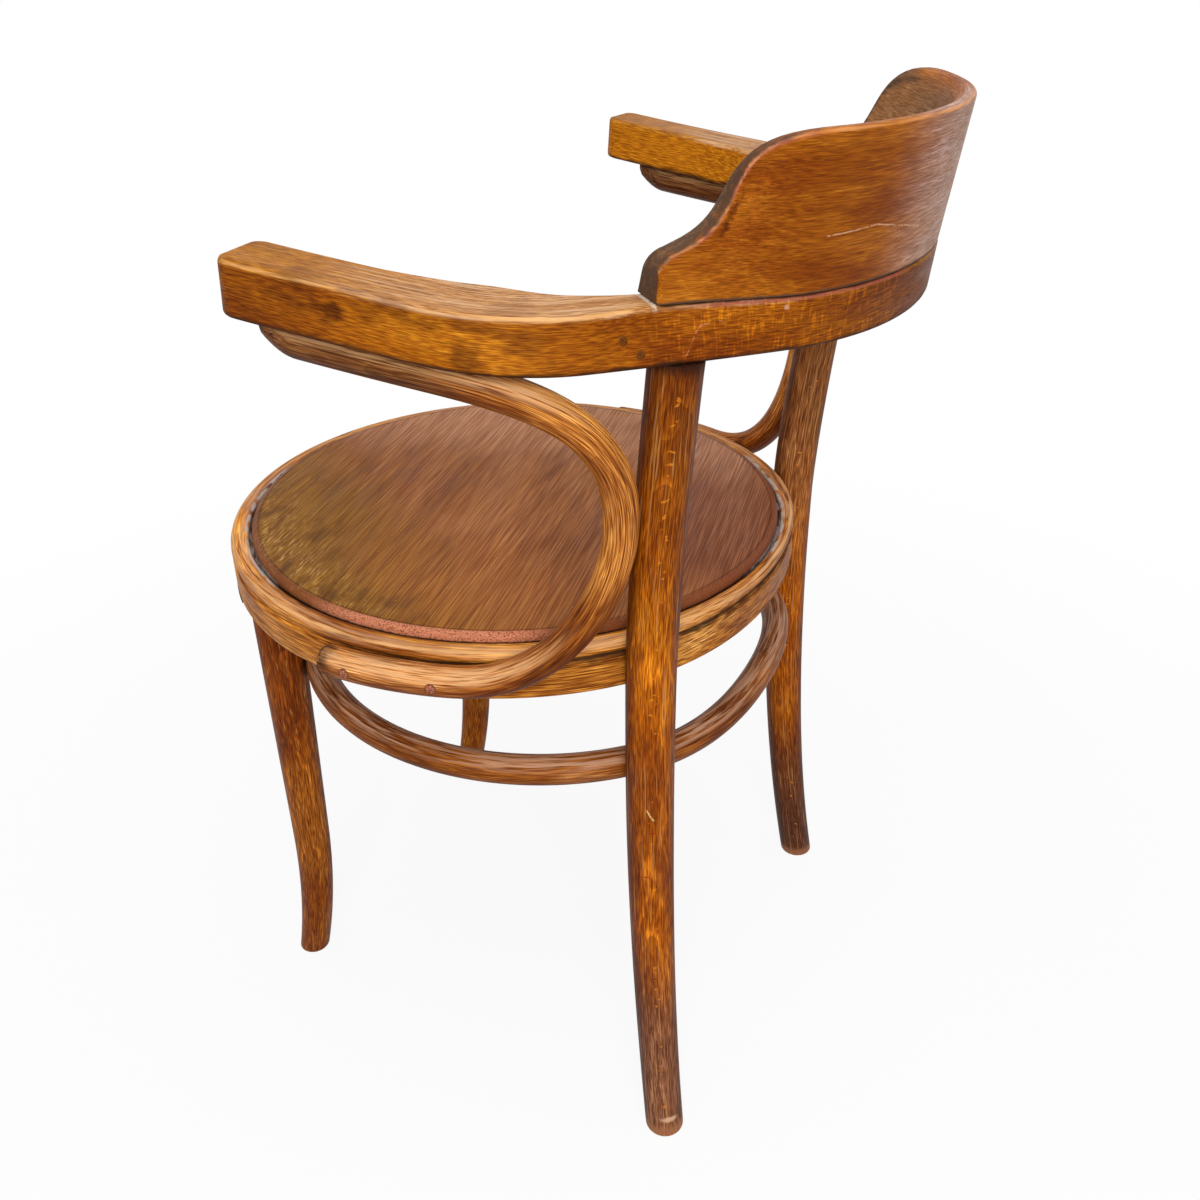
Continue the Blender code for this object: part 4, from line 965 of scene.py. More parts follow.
class WoodPaint(Paint):
    """Worn, shellacked beech, whose grain is drawn in the straight blank, as (across, up, along)."""

    def __init__(self, name, wood):
        super().__init__(name)
        self.wood = wood
        self.blank = self.attribute("blank", "Vector")
        self.across, self.up, self.along = (self.part(self.blank, axis) for axis in "XYZ")
        self.normal = self.put("ShaderNodeTexCoord", {}, "Normal")
        self.rising = self.part(self.normal, "Z")
        clouds = self.noise(self.blank, (30, 30, 9), wood.seed, 4)
        self.colour = self.blend(self.rise(clouds, 0.34, 0.56), linear(*wood.dark), linear(*wood.middle))
        self.tint(self.rise(clouds, 0.50, 0.70), wood.light, 0.8)

    def cloud(self, scale, seed, detail, low, high):
        """Patches where a noise in the blank rises from low to high."""
        return self.rise(self.noise(self.blank, scale, seed, detail), low, high)

    def tint(self, share, colour, strength=1.0):
        """Covers the tone with an sRGB colour."""
        self.colour = self.blend(self.times(share, strength), self.colour, linear(*colour))

    def shade(self, share, factors, strength=1.0):
        """Multiplies the tone's red, green and blue, which may also lighten it."""
        self.colour = self.blend(self.times(share, strength), self.colour, (*factors, 1.0), "MULTIPLY")

    def growth_rings(self):
        """Late wood about a pith that leans a little, so that arches show where a ring is cut flat."""
        wood = self.wood
        apart = self.vector("SUBTRACT", self.blank, wood.pith)
        lean = self.vector("MULTIPLY", self.along, (*wood.tilt, 1.0))
        reach = self.length(self.vector("SUBTRACT", apart, lean))
        wander = self.noise(self.blank, (40, 40, 24), wood.seed + 3, 2)
        counted = self.plus(self.times(reach, RINGS_PER_METRE), self.times(wander, RING_WANDER))
        year = self.math("FRACT", counted)
        late = self.times(self.rise(year, 0.50, 0.92), self.rise(year, 1.0, 0.97))
        shown = self.cloud((90, 90, 30), wood.seed + 5, 2, 0.40, 0.60)
        self.shade(self.times(late, shown), wood.ring_glow)

    def grain(self):
        """Growth rings, long streaks, thin dark lines, fibres, pores and ray flecks."""
        wood, blank, seed = self.wood, self.blank, self.wood.seed
        self.growth_rings()
        wide, long = wood.fibre
        self.streak = self.noise(blank, (0.7 * wide, 0.7 * wide, 0.15 * long), seed + 13, 2)
        self.shade(self.rise(self.streak, 0.52, 0.72), DARK_STREAK, wood.streaks)
        self.shade(self.rise(self.streak, 0.46, 0.28), PALE_STREAK, wood.streaks)
        level = self.noise(blank, (0.3 * wide, 0.3 * wide, 0.2 * long), seed + 19, 2)
        crossing = self.math("ABSOLUTE", self.minus(level, 0.5))
        self.shade(self.rise(crossing, 0.04, 0.01), DARK_LINE, wood.lines)
        self.fibre = self.noise(blank, (wide, wide, long), seed + 7, 1)
        self.shade(self.rise(self.fibre, 0.50, 0.64), DARK_FIBRE, wood.contrast)
        self.shade(self.rise(self.fibre, 0.50, 0.36), LIGHT_FIBRE, wood.contrast)
        self.pore = self.rise(self.cells(blank, (0.8 * wide, 0.8 * wide, 0.9 * long), seed + 11), 0.42, 0.20)
        self.shade(self.pore, PORE, wood.pores)
        flecks = self.rise(self.cells(blank, (0.7 * wide, 0.7 * wide, 1.4 * long), seed + 17), 0.40, 0.20)
        some = self.cloud((50, 50, 20), seed + 23, 2, 0.42, 0.60)
        self.shade(self.times(flecks, some), FLECK, wood.pores)

    def patch(self, centre, radii, ragged=0.8):
        """1 at a place in the blank, falling to 0 a radius away along each axis, with a ragged rim."""
        apart = self.vector("DIVIDE", self.vector("SUBTRACT", self.blank, centre), radii)
        reach = self.length(apart)
        rough = self.minus(self.noise(self.blank, (220, 220, 90), centre[2] * 50, 3), 0.5)
        return self.rise(self.plus(reach, self.times(rough, ragged * 2)), 1.0, 0.3)

    def scratch(self, start, end, width, waver=0.0015):
        """A wavering line between two places in the blank."""
        start, run = Vector(start), Vector(end) - Vector(start)
        wave = self.noise(self.blank, (120, 120, 120), start.z * 90, 1, "Color")
        wave = self.vector("MULTIPLY", self.vector("SUBTRACT", wave, (0.5, 0.5, 0.5)), (2 * waver,) * 3)
        apart = self.vector("SUBTRACT", self.vector("ADD", self.blank, wave), start)
        share = self.dot(apart, run / run.length_squared)
        share = self.math("MINIMUM", self.math("MAXIMUM", share, 0.0), 1.0)
        gone = self.vector("MULTIPLY", share, run)
        reach = self.length(self.vector("SUBTRACT", apart, gone))
        broken = self.cloud((400, 400, 400), start.z * 70, 2, 0.36, 0.52)
        return self.times(self.rise(reach, width, 0.3 * width), broken)

    def age(self):
        """Rubbed edges, which also serve as painted highlights, and grime in the joints, which also serves
        as painted shade under and between parts.
        """
        wood, blank, seed = self.wood, self.blank, self.wood.seed
        rubbed = self.minus(self.noise(blank, (300, 300, 30), seed + 29, 3), 0.5)
        worn = self.rise(self.plus(self.attribute("wear"), self.times(rubbed, 1.6)), 0.55, 1.1)
        self.tint(worn, wood.worn, 0.75)
        grime_and_shade_noise = self.minus(self.noise(blank, (260, 260, 70), seed + 31, 3), 0.5)
        self.grime_and_shade_share = self.rise(self.plus(self.attribute("grime"), self.times(grime_and_shade_noise, 1.2)), 0.15, 0.85)
        self.tint(self.grime_and_shade_share, wood.grime, 0.9)

    def done(self):
        """Gloss and relief."""
        wood, blank, seed = self.wood, self.blank, self.wood.seed
        sheen = self.minus(self.noise(blank, (90, 90, 18), seed + 37, 4), 0.5)
        roughness = self.plus(wood.gloss, self.times(sheen, 0.4))
        roughness = self.plus(roughness, self.times(self.grime_and_shade_share, 0.25))
        relief = self.plus(self.times(self.fibre, -0.7), self.times(self.pore, -0.6))
        relief = self.plus(relief, self.times(self.streak, -0.6))
        relief = self.plus(relief, self.times(self.noise(blank, (110, 110, 40), seed + 41, 3), 0.6))
        values = {"Height": relief, "Strength": RELIEF_STRENGTH, "Distance": RELIEF_DEPTH}
        bump = self.put("ShaderNodeBump", values, "Normal")
        return self.finish({"Base Color": self.colour, "Roughness": roughness, "Normal": bump,
                            "Specular IOR Level": WOOD_SPECULAR})


BOW_WOOD = Wood(dark=(140, 68, 8), middle=(172, 95, 12), light=(196, 116, 22),
                worn=(232, 176, 112), grime=(52, 30, 16), seed=3.0, pith=(0.06, -0.10, 0),
                tilt=(0.02, 0.03), ring_glow=(1.1, 1.15, 1.2), fibre=(1400, 110), contrast=0.55,
                streaks=0.25, lines=0.30, pores=0.35, gloss=0.46)
BOARD_WOOD = Wood(dark=(128, 58, 5), middle=(156, 82, 12), light=(180, 104, 28),
                  worn=(222, 150, 88), grime=(78, 60, 48), seed=8.0, pith=(0.10, 0.0, 0),
                  tilt=(0.03, 0.05), ring_glow=(1.15, 1.25, 1.3), fibre=(1500, 80), contrast=0.42,
                  streaks=0.20, lines=0.15, pores=0.30, gloss=0.42)
POST_WOOD = Wood(dark=(126, 58, 8), middle=(160, 80, 8), light=(186, 102, 16),
                 worn=(196, 140, 96), grime=(46, 24, 14), seed=13.0, pith=(-0.022, -0.009, 0),
                 tilt=(0.03, 0.012), ring_glow=(1.7, 1.9, 2.0), fibre=(1400, 80), contrast=0.72,
                 streaks=0.35, lines=0.40, pores=0.30, gloss=0.46)
LEG_WOOD = POST_WOOD._replace(dark=(108, 46, 8), middle=(140, 66, 8), light=(170, 94, 22),
                              seed=19.0)
RING_WOOD = Wood(dark=(158, 86, 24), middle=(206, 126, 42), light=(236, 164, 82),
                 worn=(236, 182, 122), grime=(48, 28, 18), seed=29.0, pith=(0.1, 0.3, 0),
                 tilt=(0.0, 0.0), ring_glow=(1.1, 1.15, 1.2), fibre=(1500, 50), contrast=0.85,
                 streaks=0.60, lines=0.80, pores=0.45, gloss=0.46)
SUPPORT_WOOD = Wood(dark=(132, 66, 18), middle=(178, 100, 36), light=(214, 140, 76),
                    worn=(206, 160, 112), grime=(54, 34, 24), seed=37.0, pith=(0.024, 0.006, 0),
                    tilt=(0.03, 0.0), ring_glow=(1.35, 1.45, 1.4), fibre=(1400, 45), contrast=0.85,
                    streaks=0.50, lines=0.70, pores=0.45, gloss=0.42)
FOOT_RING_WOOD = SUPPORT_WOOD._replace(dark=(120, 58, 14), middle=(152, 82, 26),
                                       light=(170, 104, 56), seed=43.0, contrast=0.75, streaks=0.4,
                                       lines=0.35)
PANEL_WOOD = Wood(dark=(128, 72, 32), middle=(146, 84, 40), light=(160, 98, 52),
                  worn=(190, 112, 84), grime=(44, 28, 20), seed=53.0, pith=(0.0, -2.0, 0),
                  tilt=(0.0, 0.0), ring_glow=(1.05, 1.05, 1.05), fibre=(1500, 22), contrast=0.58,
                  streaks=0.12, lines=0.15, pores=0.30, gloss=0.44)


def both_arms(paint):
    """Distance from the nearer arm's front end, along the bow."""
    return paint.minus(BOW_HALF, paint.math("ABSOLUTE", paint.minus(paint.along, BOW_HALF)))


def bow_material():
    """Honey tops rubbed pale at the elbows, darker ends, smudged faces, ray flecks on the rail, and painted
    shade, with some smudge, on the rail's outer face towards the back's middle.
    """
    paint = WoodPaint("bow_beech", BOW_WOOD)
    end = both_arms(paint)
    top = paint.rise(paint.up, -0.0040, -0.0012)
    face = paint.rise(paint.across, 0.006, 0.003)
    paint.shade(paint.rise(end, 0.085, 0.005), (0.58, 0.48, 0.5), 0.85)
    paint.shade(paint.between(end, 0.20, 0.60, 0.04), (0.76, 0.66, 0.6), 0.9)
    # Painted shade, with some smudge, darkens the rail's outer face towards the back's middle, where it
    # turns away.
    paint.shade(paint.times(paint.rise(end, 0.33, 0.45), face), (0.42, 0.34, 0.25), 0.9)
    inside = paint.times(paint.rise(paint.across, 0.036, 0.040), paint.rise(end, 0.20, 0.13))
    paint.tint(inside, (204, 122, 18), 0.8)
    paint.tint(top, (178, 112, 32), 0.85)
    paint.tint(paint.times(top, paint.between(end, 0.13, 0.30, 0.06)), (188, 130, 76), 0.8)
    stain = paint.cloud((70, 70, 26), 59.0, 3, 0.46, 0.66)
    paint.shade(paint.times(top, stain), (0.66, 0.58, 0.5), 0.8)
    paint.grain()
    rubbed = paint.cloud((420, 420, 11), 61.0, 4, 0.46, 0.62)
    rubbed = paint.times(top, rubbed, paint.between(end, 0.10, 0.32, 0.06))
    paint.tint(rubbed, (228, 186, 146), 0.6)
    smoke = paint.cloud((60, 60, 24), 67.0, 4, 0.50, 0.66)
    paint.shade(paint.times(face, smoke, paint.rise(end, 0.24, 0.16)), (0.45, 0.38, 0.4), 0.8)
    paint.shade(paint.patch((0.0, -0.013, 0.0765), (0.01, 0.008, 0.012)), (0.35, 0.3, 0.35))
    paint.shade(paint.patch((0.0, -0.022, 0.150), (0.01, 0.012, 0.012)), (0.5, 0.45, 0.5))
    rays = paint.cloud((90, 90, 520), 71.0, 2, 0.52, 0.68)
    on_rail = paint.times(face, paint.between(end, 0.27, 0.42, 0.03))
    paint.shade(paint.times(rays, on_rail), (1.7, 1.9, 1.9), 0.9)
    pink = paint.between(paint.up, -0.0022, 0.001, 0.0008)
    paint.tint(paint.times(on_rail, pink), (160, 78, 66), 0.75)
    for start, finish in (((0.0025, -0.012, 0.2835), (0.0005, -0.027, 0.2745)),
                          ((0.002, -0.009, 0.305), (0.0025, -0.012, 0.2835))):
        paint.tint(paint.scratch(start, finish, 0.0007), (214, 140, 96), 0.6)
    paint.tint(paint.patch((-0.002, -0.006, 0.335), (0.006, 0.0022, 0.0022), 0.3), (206, 150, 116))
    low = paint.rise(paint.up, -0.0285, -0.0315)
    paint.shade(paint.times(low, face), (0.4, 0.32, 0.3), 0.9)
    paint.age()
    seam = paint.between(end, BACKREST_END - 0.0024, BACKREST_END - 0.0006, 0.0010)
    beside_backrest = paint.times(top, seam)
    dust = paint.cloud((260, 260, 200), 73.0, 3, 0.34, 0.50)
    paint.tint(paint.times(beside_backrest, dust), (216, 200, 184), 0.7)
    return paint.done()


def backrest_material():
    """Fine level flecks, a pink ogee edge, a dull inner face, a painted greyish-pink sheen on the outer face
    near the back's middle, and a few scratches.
    """
    paint = WoodPaint("backrest_beech", BOARD_WOOD)
    end = paint.minus(both_arms(paint), BACKREST_END)
    depth = paint.plus(paint.across, paint.times(paint.up, math.tan(BACKREST_LEAN)))
    inner = paint.rise(depth, 0.0085, 0.0110)
    outer = paint.rise(depth, 0.0060, 0.0040)
    paint.shade(paint.rise(end, 0.10, 0.02), (1.25, 1.35, 1.5))
    paint.tint(inner, (156, 108, 66), 0.85)
    # Painted reflection: a greyish-pink sheen on the outer face near the back's middle.
    paint.tint(paint.times(outer, paint.between(paint.along, 0.46, 0.50, 0.07)), (180, 134, 110), 0.85)
    paint.grain()
    flecks = paint.cloud((300, 300, 26), 81.0, 3, 0.54, 0.66)
    paint.shade(paint.times(outer, flecks), (1.3, 1.5, 2.0), 0.7)
    beside = paint.scratch((-0.003, 0.034, 0.300), (-0.004, 0.062, 0.312), 0.012)
    paint.shade(paint.times(beside, outer), (1.25, 1.35, 1.6), 0.8)
    scoop = paint.scratch((-0.003, 0.036, 0.2915), (-0.004, 0.060, 0.3020), 0.0032, 0.001)
    paint.shade(paint.times(scoop, outer), (0.42, 0.34, 0.3), 0.9)
    rim = paint.times(paint.attribute("wear"), paint.rise(end, 0.10, 0.06))
    paint.tint(paint.times(rim, outer), (176, 92, 78), 0.8)
    for start, finish in (((-0.0066, 0.0310, 0.3545), (-0.0068, 0.0330, 0.3916)),
                          ((-0.0068, 0.0330, 0.3916), (-0.0056, 0.0240, 0.438))):
        paint.tint(paint.scratch(start, finish, 0.0006, 0.0008), (228, 176, 140), 0.7)
    paint.age()
    return paint.done()


def panel_way(angle):
    """The direction at an angle about the seat's axis, in the panel's blank."""
    return (math.sin(angle - PANEL_GRAIN), 0.0, math.cos(angle - PANEL_GRAIN))


PANEL_PINK_AT = math.radians(12)
PANEL_DUSTY_AT = (math.radians(-52), math.radians(107))


def panel_material():
    """Straight fine grain, rubbed ochre at the front left, redder at the back, a painted pale sheen over the
    right-hand side, with a dark and pink edge.
    """
    paint = WoodPaint("seat_panel_ply", PANEL_WOOD)
    leftward = paint.minus(paint.along, paint.across)
    paint.tint(paint.rise(leftward, 0.08, 0.22), (130, 83, 12), 0.85)
    paint.tint(paint.rise(paint.across, 0.02, 0.16), (126, 72, 46), 0.8)
    # Painted sheen: the right-hand side of the panel is lightened as a pale grazing reflection.
    paint.tint(paint.rise(paint.along, -0.04, -0.15), (186, 126, 88), 0.75)
    front = paint.times(paint.rise(paint.along, 0.06, 0.16), paint.rise(leftward, 0.25, 0.18))
    paint.tint(front, (166, 98, 42), 0.6)
    paint.grain()
    mottle = paint.noise(paint.blank, (80, 80, 34), 91.0, 4)
    rubbed = paint.rise(leftward, 0.14, 0.24)
    paint.shade(paint.times(paint.rise(mottle, 0.50, 0.66), rubbed), (0.52, 0.48, 0.45), 0.8)
    lines = paint.cloud((1100, 1100, 80), 95.0, 2, 0.52, 0.62)
    bright = paint.times(lines, paint.rise(mottle, 0.56, 0.42), paint.rise(leftward, 0.19, 0.30))
    paint.tint(bright, (222, 172, 96), 0.75)
    specks = paint.rise(paint.cells(paint.blank, (110, 110, 90), 99.0), 0.08, 0.03)
    paint.tint(specks, (196, 140, 90), 0.6)
    rim = PANEL_RADIUS - PANEL_EDGE_ROUND
    reach = paint.length(paint.vector("MULTIPLY", paint.blank, (1, 0, 1)))
    edge = paint.rise(reach, rim - 0.0004, rim + 0.0008)
    pink = paint.dot(paint.blank, panel_way(PANEL_PINK_AT))
    speckled = paint.cloud((900, 900, 900), 97.0, 2, 0.72, 0.40)
    paint.tint(edge, (124, 66, 40), 0.75)
    paint.tint(paint.times(edge, speckled, paint.rise(pink, 0.180, 0.206)), (222, 142, 108), 0.85)
    paint.shade(paint.between(reach, rim - 0.0010, rim - 0.0002, 0.0006), (0.45, 0.38, 0.42), 0.8)
    paint.age()
    side = paint.rise(paint.up, SEAT_HEIGHT - 0.9 * PANEL_EDGE_ROUND, SEAT_HEIGHT - 1.1 * PANEL_EDGE_ROUND)
    for angle in PANEL_DUSTY_AT:
        dusty = paint.dot(paint.blank, panel_way(angle))
        cloud = paint.cloud((200, 200, 120), angle, 3, 0.34, 0.52)
        paint.tint(paint.times(side, paint.rise(dusty, 0.186, 0.200), cloud), (178, 166, 158), 0.8)
    return paint.done()


def ring_material():
    """Long dark grain lines, a golden painted highlight at the front left, a rubbed bead with a painted
    highlight along its top, and dust in parts of the gap beside the panel.
    """
    paint = WoodPaint("seat_ring_beech", RING_WOOD)
    # A golden painted highlight over the ring's front left.
    golden_highlight = paint.patch((RING_RADIUS, RING_TOP, 0.52), (0.03, 0.03, 0.10))
    paint.shade(golden_highlight, (1.25, 1.25, 1.1), 0.8)
    paint.tint(paint.between(paint.along, 1.0, 1.3, 0.06), (168, 94, 36), 0.55)
    paint.grain()
    # A painted highlight along the bead's top, broken up like rubbing.
    bead = paint.times(paint.rise(paint.up, RING_TOP - 0.006, RING_TOP - 0.002),
                       paint.rise(paint.across, RING_RADIUS - 0.012, RING_RADIUS - 0.008))
    rubbed = paint.cloud((500, 500, 22), 113.0, 3, 0.36, 0.60)
    paint.tint(paint.times(bead, rubbed), (228, 172, 126), 0.55)
    paint.age()
    lip = RING_RADIUS - RING_LIP
    gap = paint.times(paint.rise(paint.across, lip + 0.0042, lip + 0.0018),
                      paint.rise(paint.up, PANEL_BOTTOM - 0.002, PANEL_BOTTOM - 0.001))
    dusty = paint.plus(paint.between(paint.along, 0.40, 0.60, 0.03),
                       paint.between(paint.along, 1.08, 1.26, 0.02))
    cloud = paint.cloud((200, 200, 60), 111.0, 3, 0.36, 0.58)
    paint.tint(paint.times(gap, dusty, cloud), (188, 174, 166), 0.85)
    return paint.done()


# The legs get painted shade on the sides that turn away from the first direction, and the supports get a
# painted highlight, broken by pale dust, where they face the second.
PAINTED_LIGHT_FROM = (0.87, 0.49, 0.0)
PAINTED_HIGHLIGHT_FROM = (0.56, 0.32, 0.76)


def post_material():
    """Orange arches up the face that show as a painted highlight on the side facing the light, painted shade
    on the sides away from it, pale and dark streaks, a dark top and a greyer foot.
    """
    paint = WoodPaint("rear_leg_beech", POST_WOOD)
    paint.shade(paint.rise(paint.along, 0.50, 0.62), (0.60, 0.56, 0.7), 0.9)
    paint.shade(paint.between(paint.along, 0.20, 0.42, 0.06), (1.3, 1.3, 1.2), 0.9)
    paint.tint(paint.rise(paint.along, 0.20, 0.07), (128, 82, 58), 0.8)
    right = paint.rise(paint.part(paint.place(), "X"), 0.01, -0.01)
    paint.shade(paint.times(right, paint.rise(paint.along, 0.30, 0.12)), (0.45, 0.34, 0.26), 0.9)
    paint.tint(paint.times(right, paint.rise(paint.along, 0.32, 0.42)), (156, 104, 60), 0.45)
    # Painted shade: the post darkens on the sides that turn away from the light.
    lit = paint.dot(paint.normal, PAINTED_LIGHT_FROM)
    paint.shade(paint.rise(lit, 0.92, 0.35), (0.40, 0.33, 0.32), 0.9)
    paint.grain()
    pale = paint.cloud((650, 650, 16), 121.0, 2, 0.60, 0.70)
    paint.tint(pale, (206, 152, 92), 0.5)
    # Orange arches of the grain, shown only in a narrow column on the side facing the light, as a painted
    # highlight.
    crescents = paint.cloud((170, 170, 260), 127.0, 1, 0.66, 0.74)
    column = paint.times(paint.rise(lit, 0.965, 0.99), crescents)
    paint.tint(column, (224, 132, 32), 0.75)
    chip = paint.patch((0.0113, 0.0104, 0.0175), (0.010, 0.012, 0.0035), 0.4)
    paint.tint(chip, (222, 176, 140), 0.9)
    paint.tint(paint.rise(paint.along, 0.013, 0.006), (172, 112, 76), 0.7)
    paint.tint(paint.scratch((0.0165, 0.004, 0.318), (0.0150, 0.0085, 0.308), 0.0010), (238, 196, 120), 0.9)
    for place in ((0.0150, 0.0085, 0.297), (0.0160, 0.003, 0.257)):
        paint.tint(paint.patch(place, (0.004, 0.004, 0.0012), 0.3), (150, 30, 24), 0.8)
    paint.age()
    return paint.done()


def leg_material():
    """Dark, with painted shade on the side away from the light, and an orange patch above a lighter foot."""
    paint = WoodPaint("front_leg_beech", LEG_WOOD)
    paint.tint(paint.between(paint.along, 0.13, 0.21, 0.05), (172, 96, 26), 0.6)
    paint.shade(paint.rise(paint.along, 0.10, 0.02), (1.12, 1.2, 0.85), 0.8)
    # Painted shade: the leg darkens on the side away from the light.
    lit = paint.dot(paint.normal, PAINTED_LIGHT_FROM)
    paint.shade(paint.rise(lit, 0.7, 0.0), (0.45, 0.38, 0.38), 0.85)
    paint.grain()
    pale = paint.cloud((600, 600, 60), 131.0, 2, 0.62, 0.72)
    paint.tint(pale, (212, 150, 74), 0.5)
    paint.age()
    return paint.done()


def support_material():
    """Dull under the arm, orange in the upper bend, with painted shade underneath and a painted highlight,
    broken by pale dust, on the side that faces up.
    """
    paint = WoodPaint("arm_support_beech", SUPPORT_WOOD)
    paint.tint(paint.rise(paint.along, 0.16, 0.10), (124, 82, 48), 0.75)
    paint.tint(paint.between(paint.along, 0.19, 0.30, 0.05), (242, 156, 70), 0.75)
    # Painted shade on the underside.
    paint.shade(paint.rise(paint.rising, 0.35, -0.45), (0.50, 0.38, 0.30), 0.9)
    paint.grain()
    # Pale dust and a painted highlight on the side that faces up towards the light.
    dust = paint.cloud((800, 800, 36), 139.0, 3, 0.34, 0.58)
    lit = paint.dot(paint.normal, PAINTED_HIGHLIGHT_FROM)
    paint.tint(paint.times(dust, paint.rise(lit, 0.70, 0.96)), (240, 184, 128), 0.8)
    paint.age()
    return paint.done()


def foot_ring_material():
    """Brown, with painted shade below and a pale top, rubbed and painted as a highlight."""
    paint = WoodPaint("foot_ring_beech", FOOT_RING_WOOD)
    # Painted shade on the underside.
    paint.shade(paint.rise(paint.rising, 0.0, -0.7), (0.5, 0.4, 0.34), 0.85)
    paint.grain()
    # Pale rubbing on top, which also serves as a painted highlight.
    rubbed = paint.cloud((500, 500, 26), 141.0, 4, 0.40, 0.60)
    paint.tint(paint.times(rubbed, paint.rise(paint.rising, 0.25, 0.85)), (222, 172, 138), 0.65)
    paint.age()
    return paint.done()


def steel_material():
    """Dull screws and bolts with a little rust."""
    paint = Paint("aged_steel")
    rust = paint.rise(paint.noise(paint.place(), (420, 420, 420), 2.0, 5), 0.5, 0.66)
    colour = paint.blend(rust, linear(150, 146, 140), linear(96, 62, 40))
    return paint.finish({"Base Color": colour, "Roughness": paint.plus(0.38, paint.times(rust, 0.35)),
                         "Metallic": 1.0})


def plug_material(name, face, rim, seed):
    """End grain in the middle and a dark joint round it."""
    paint = Paint(name)
    blank = paint.attribute("blank", "Vector")
    reach = paint.length(blank)
    mottle = paint.rise(paint.noise(blank, (3, 3, 3), seed, 4), 0.35, 0.65)
    colour = paint.blend(mottle, face, rim)
    colour = paint.blend(paint.rise(reach, 0.62, 0.95), colour, rim)
    return paint.finish({"Base Color": colour, "Roughness": paint.plus(0.4, paint.times(mottle, 0.2)),
                         "Specular IOR Level": WOOD_SPECULAR})


def dowel_material():
    """Plain, unfinished beech dowels, which the wood round them hides."""
    paint = Paint("plain_beech")
    stripe = paint.noise(paint.place(), (900, 900, 30), 4.0, 3)
    colour = paint.blend(stripe, linear(186, 140, 92), linear(214, 176, 128))
    return paint.finish({"Base Color": colour, "Roughness": 0.6})


def coat(piece, material):
    piece.data.materials.clear()
    piece.data.materials.append(material)


def build_chair():
    coat(make_bow(), bow_material())
    coat(make_backrest(), backrest_material())
    coat(make_seat_ring(), ring_material())
    coat(make_seat_panel(), panel_material())
    coat(make_foot_ring(), foot_ring_material())
    post, leg, support = post_material(), leg_material(), support_material()
    plug = plug_material("support_plug_end_grain", linear(198, 122, 96), linear(112, 64, 40), 1.0)
    pin = plug_material("bow_pin_end_grain", linear(66, 34, 10), linear(124, 66, 14), 6.0)
    ends = (
        ("support_plug", PLUG_RADIUS, [plug_surface(angle) for angle in PLUG_ANGLES], plug),
        ("bow_pin", PIN_RADIUS, [pin_surface(*place) for place in PIN_PLACES], pin),
    )
    for side, label in ((1, "left"), (-1, "right")):
        coat(make_post(side, label), post)
        coat(make_leg(side, label), leg)
        coat(make_support(side, label), support)
        for kind, radius, surfaces, material in ends:
            for number, surface in enumerate(surfaces, 1):
                coat(make_plug(f"{kind}_{label}_{number}", side, radius, surface), material)


def coat_hidden_fasteners():
    """The screws, bolts, washers and dowels keep their CAD shapes."""
    steel, dowel = steel_material(), dowel_material()
    for name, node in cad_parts.items():
        if "screw" in name or "bolt" in name or "washer" in name:
            coat(node, steel)
        elif "dowel" in name:
            coat(node, dowel)


FLOOR_RADIUS = 40.0
FLOOR_SIDES = 96
FLOOR_TONE = (0.9, 0.9, 0.9, 1.0)
BOUNCE_TONE = (0.45, 0.45, 0.45, 1.0)
WHITE = (1.0, 1.0, 1.0, 1.0)
FLOOR_GLOW = 0.9
FLOOR_FADE = (0.4, 1.3)
WORLD_LEVEL = 0.35


def make_floor():
    """A pale floor that the camera sees as nearly white, with the chair's soft shadow on it."""
    bm = bmesh.new()
    bmesh.ops.create_circle(bm, cap_ends=True, radius=FLOOR_RADIUS, segments=FLOOR_SIDES)
    mesh = bpy.data.meshes.new("floor")
    bm.to_mesh(mesh)
    bm.free()
    floor = bpy.data.objects.new("floor", mesh)
    bpy.context.scene.collection.objects.link(floor)
    paint = Paint("pale_floor")
    tree = paint.tree
    lit = paint.put("ShaderNodeBsdfDiffuse", {"Color": FLOOR_TONE})
    glow = paint.put("ShaderNodeEmission", {"Color": WHITE, "Strength": 1.0})
    away = paint.rise(paint.length(paint.place()), *FLOOR_FADE)
    glows = paint.plus(FLOOR_GLOW, paint.times(away, 1 - FLOOR_GLOW))
    seen = paint.put("ShaderNodeMixShader", {0: glows, 1: lit, 2: glow})
    bounce = paint.put("ShaderNodeBsdfDiffuse", {"Color": BOUNCE_TONE})
    surface = paint.put("ShaderNodeMixShader", {0: sees_stage(paint), 1: bounce, 2: seen})
    tree.links.new(surface, tree.nodes["Material Output"].inputs["Surface"])
    tree.nodes.remove(paint.shader)
    mesh.materials.append(paint.material)


def sees_stage(paint):
    """1 for a ray that shows the stage itself: to the camera, in a gloss or through glass."""
    path = paint.tree.nodes.new("ShaderNodeLightPath")
    shown = paint.math("MAXIMUM", path.outputs["Is Camera Ray"], path.outputs["Is Glossy Ray"])
    return paint.math("MAXIMUM", shown, path.outputs["Is Transmission Ray"])


class WorldPaint(Paint):
    """Adds nodes to a world, which has no shader to feed."""

    def __init__(self, world):
        world.use_nodes = True
        self.tree = world.node_tree


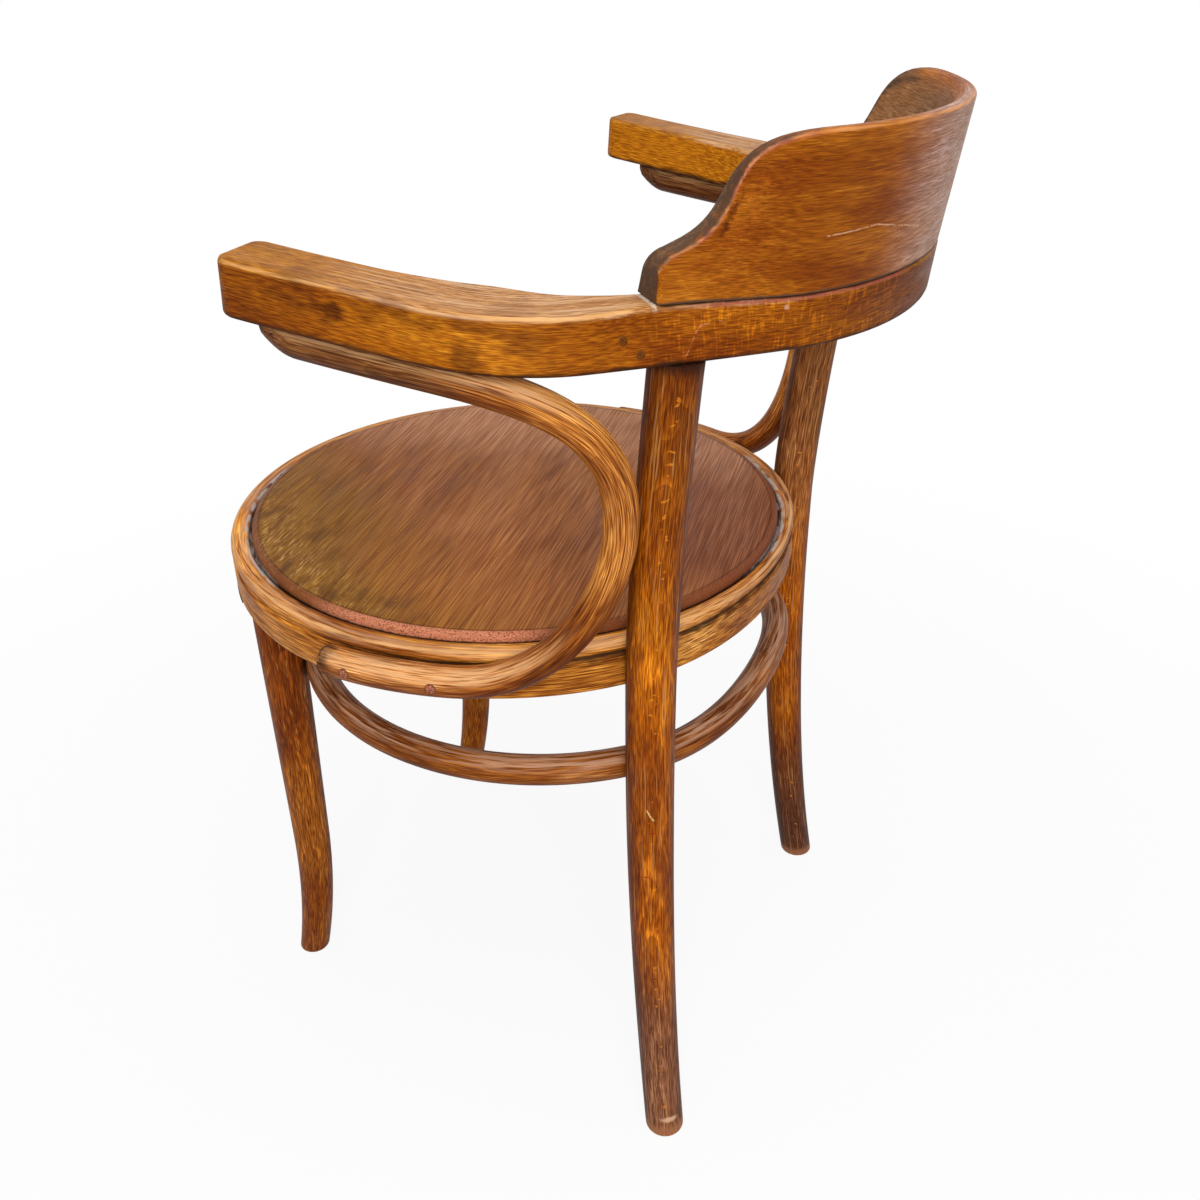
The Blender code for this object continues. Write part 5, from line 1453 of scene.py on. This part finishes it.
def make_world():
    world = bpy.data.worlds.new("studio")
    bpy.context.scene.world = world
    paint = WorldPaint(world)
    level = paint.put("ShaderNodeMix", {0: sees_stage(paint), 2: WORLD_LEVEL, 3: 1.0})
    background = paint.tree.nodes["Background"]
    background.inputs["Color"].default_value = WHITE
    paint.tree.links.new(level, background.inputs["Strength"])


Lamp = namedtuple("Lamp", "name place aim size watts")
LAMPS = (
    Lamp("overhead", Vector((0.2, 0.1, 2.6)), Vector((0.0, 0.0, 0.4)), 2.0, 22.0),
    Lamp("camera_side", Vector((2.0, 1.1, 1.6)), Vector((0.0, 0.1, 0.40)), 1.2, 42.0),
)


def make_lamps():
    for lamp in LAMPS:
        light = bpy.data.lights.new(lamp.name, "AREA")
        light.shape = "SQUARE"
        light.size = lamp.size
        light.energy = lamp.watts
        holder = bpy.data.objects.new(lamp.name, light)
        holder.location = lamp.place
        holder.rotation_euler = (lamp.aim - lamp.place).to_track_quat("-Z", "Y").to_euler()
        bpy.context.scene.collection.objects.link(holder)


def make_camera():
    """The camera at the photograph's place, from its yaw, pitch and roll."""
    ahead = Vector((math.sin(CAMERA_YAW) * math.cos(CAMERA_PITCH),
                    math.cos(CAMERA_YAW) * math.cos(CAMERA_PITCH), math.sin(CAMERA_PITCH)))
    right = ahead.cross(Vector((0, 0, 1))).normalized()
    up = right.cross(ahead)
    rolled_right = right * math.cos(CAMERA_ROLL) + up * math.sin(CAMERA_ROLL)
    rolled_up = up * math.cos(CAMERA_ROLL) - right * math.sin(CAMERA_ROLL)
    camera = bpy.data.cameras.new("camera")
    camera.sensor_width = CAMERA_SENSOR
    camera.lens = CAMERA_SENSOR * CAMERA_FOCAL_PIXELS / PHOTO_PIXELS
    holder = bpy.data.objects.new("camera", camera)
    turn = Matrix((rolled_right, rolled_up, -ahead)).transposed().to_4x4()
    holder.matrix_world = Matrix.Translation(CAMERA_PLACE + SEAT_AXIS) @ turn
    bpy.context.scene.collection.objects.link(holder)
    bpy.context.scene.camera = holder


build_chair()
coat_hidden_fasteners()
make_floor()
make_world()
make_lamps()
make_camera()
bpy.context.scene.view_settings.view_transform = "Standard"
